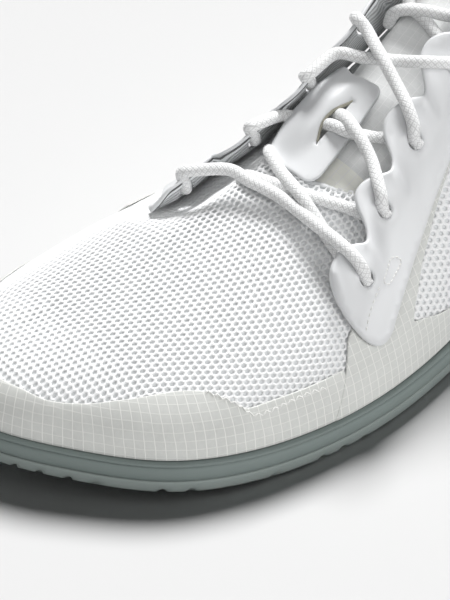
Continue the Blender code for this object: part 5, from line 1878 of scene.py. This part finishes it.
class SHOE_OT_stage(bpy.types.Operator):
    """Pale floor, soft studio light and the camera."""
    bl_idname = "shoe.stage"
    bl_label = "Stage"

    def execute(self, context):
        scene = context.scene
        size = 2.5
        mesh = bpy.data.meshes.new("floor")
        corners = ((-1, -1), (1, -1), (1, 1), (-1, 1))
        mesh.from_pydata([(size * x, size * y, -0.0002) for x, y in corners], [], [(0, 1, 2, 3)])
        floor = bpy.data.objects.new("floor", mesh)
        scene.collection.objects.link(floor)
        paper = Look("floor_paper", (0.78, 0.78, 0.78), 0.9, Specular_IOR_Level=0.0)
        floor.data.materials.append(paper.material)
        world = bpy.data.worlds.new("studio")
        world.use_nodes = True
        background = world.node_tree.nodes["Background"]
        background.inputs["Color"].default_value = (1.0, 1.0, 1.0, 1.0)
        background.inputs["Strength"].default_value = 0.06
        scene.world = world
        scene.view_settings.view_transform = "Standard"
        self.light("key", (-0.43, 0.43, 0.90), 20.0, 4.1)
        without_floor = bpy.data.collections.new("not lit by the fills")
        without_floor.objects.link(floor)
        without_floor.collection_objects[0].light_linking.link_state = "EXCLUDE"
        for fill in (("fill", (0.92, 0.22, 0.40), 40.0, 1.35), ("front", (0.35, -0.45, 0.80), 50.0, 0.75)):
            self.light(*fill).light_linking.receiver_collection = without_floor
        self.camera(scene)
        return {"FINISHED"}

    def light(self, name, place, spread, power):
        """Sun that shines from a place towards the origin."""
        lamp = bpy.data.lights.new(name, "SUN")
        lamp.angle = math.radians(spread)
        lamp.energy = power
        made = bpy.data.objects.new(name, lamp)
        made.location = place
        made.rotation_euler = (-Vector(place)).to_track_quat("-Z", "Y").to_euler()
        bpy.context.scene.collection.objects.link(made)
        return made

    def camera(self, scene):
        """Camera of the photograph: its direction, target and lens."""
        azimuth, elevation, roll = (math.radians(angle) for angle in (45.5, 40.0, 0.3))
        back = Vector((math.sin(azimuth) * math.cos(elevation),
                       -math.cos(azimuth) * math.cos(elevation), math.sin(elevation)))
        right = Vector((math.cos(azimuth), math.sin(azimuth), 0.0))
        up = back.cross(right)
        turned_right = right * math.cos(roll) + up * math.sin(roll)
        turned_up = up * math.cos(roll) - right * math.sin(roll)
        target = Vector(to_world((-17.8, 103.0, 0.0)).tolist())
        lens = bpy.data.cameras.new("camera")
        lens.sensor_fit = "VERTICAL"
        lens.sensor_height = 36.0
        lens.lens = 36.0 * 3006.0 / 600.0
        lens.clip_end = 20.0
        made = bpy.data.objects.new("camera", lens)
        frame_axes = Matrix((turned_right, turned_up, back)).transposed().to_4x4()
        made.matrix_world = Matrix.Translation(target + back * 0.9) @ frame_axes
        scene.collection.objects.link(made)
        scene.camera = made


class SHOE_PT_panel(bpy.types.Panel):
    """Sizes, colours and pieces of the shoe."""
    bl_idname = "SHOE_PT_panel"
    bl_label = "Barefoot shoe"
    bl_space_type = "VIEW_3D"
    bl_region_type = "UI"
    bl_category = "Shoe"

    def draw(self, context):
        for group in (context.scene.shoe_sizes, context.scene.shoe_colours):
            box = self.layout.box()
            for name in group.__annotations__:
                box.prop(group, name)
        for operator in PIECES:
            self.layout.operator(operator.bl_idname)


PIECES = (
    SHOE_OT_stage, SHOE_OT_sole, SHOE_OT_footbed, SHOE_OT_upper, SHOE_OT_knit, SHOE_OT_films,
    SHOE_OT_eyestays, SHOE_OT_tongue, SHOE_OT_keeper, SHOE_OT_laces, SHOE_OT_collar, SHOE_OT_stitching,
)
CLASSES = (ShoeSizes, ShoeColours, *PIECES, SHOE_PT_panel)


def register():
    for item in CLASSES:
        bpy.utils.register_class(item)
    bpy.types.Scene.shoe_sizes = PointerProperty(type=ShoeSizes)
    bpy.types.Scene.shoe_colours = PointerProperty(type=ShoeColours)


def unregister():
    del bpy.types.Scene.shoe_colours
    del bpy.types.Scene.shoe_sizes
    for item in reversed(CLASSES):
        bpy.utils.unregister_class(item)


def main():
    register()
    for piece in PIECES:
        getattr(bpy.ops.shoe, piece.bl_idname.split(".")[1])()


if __name__ == "__main__":
    main()
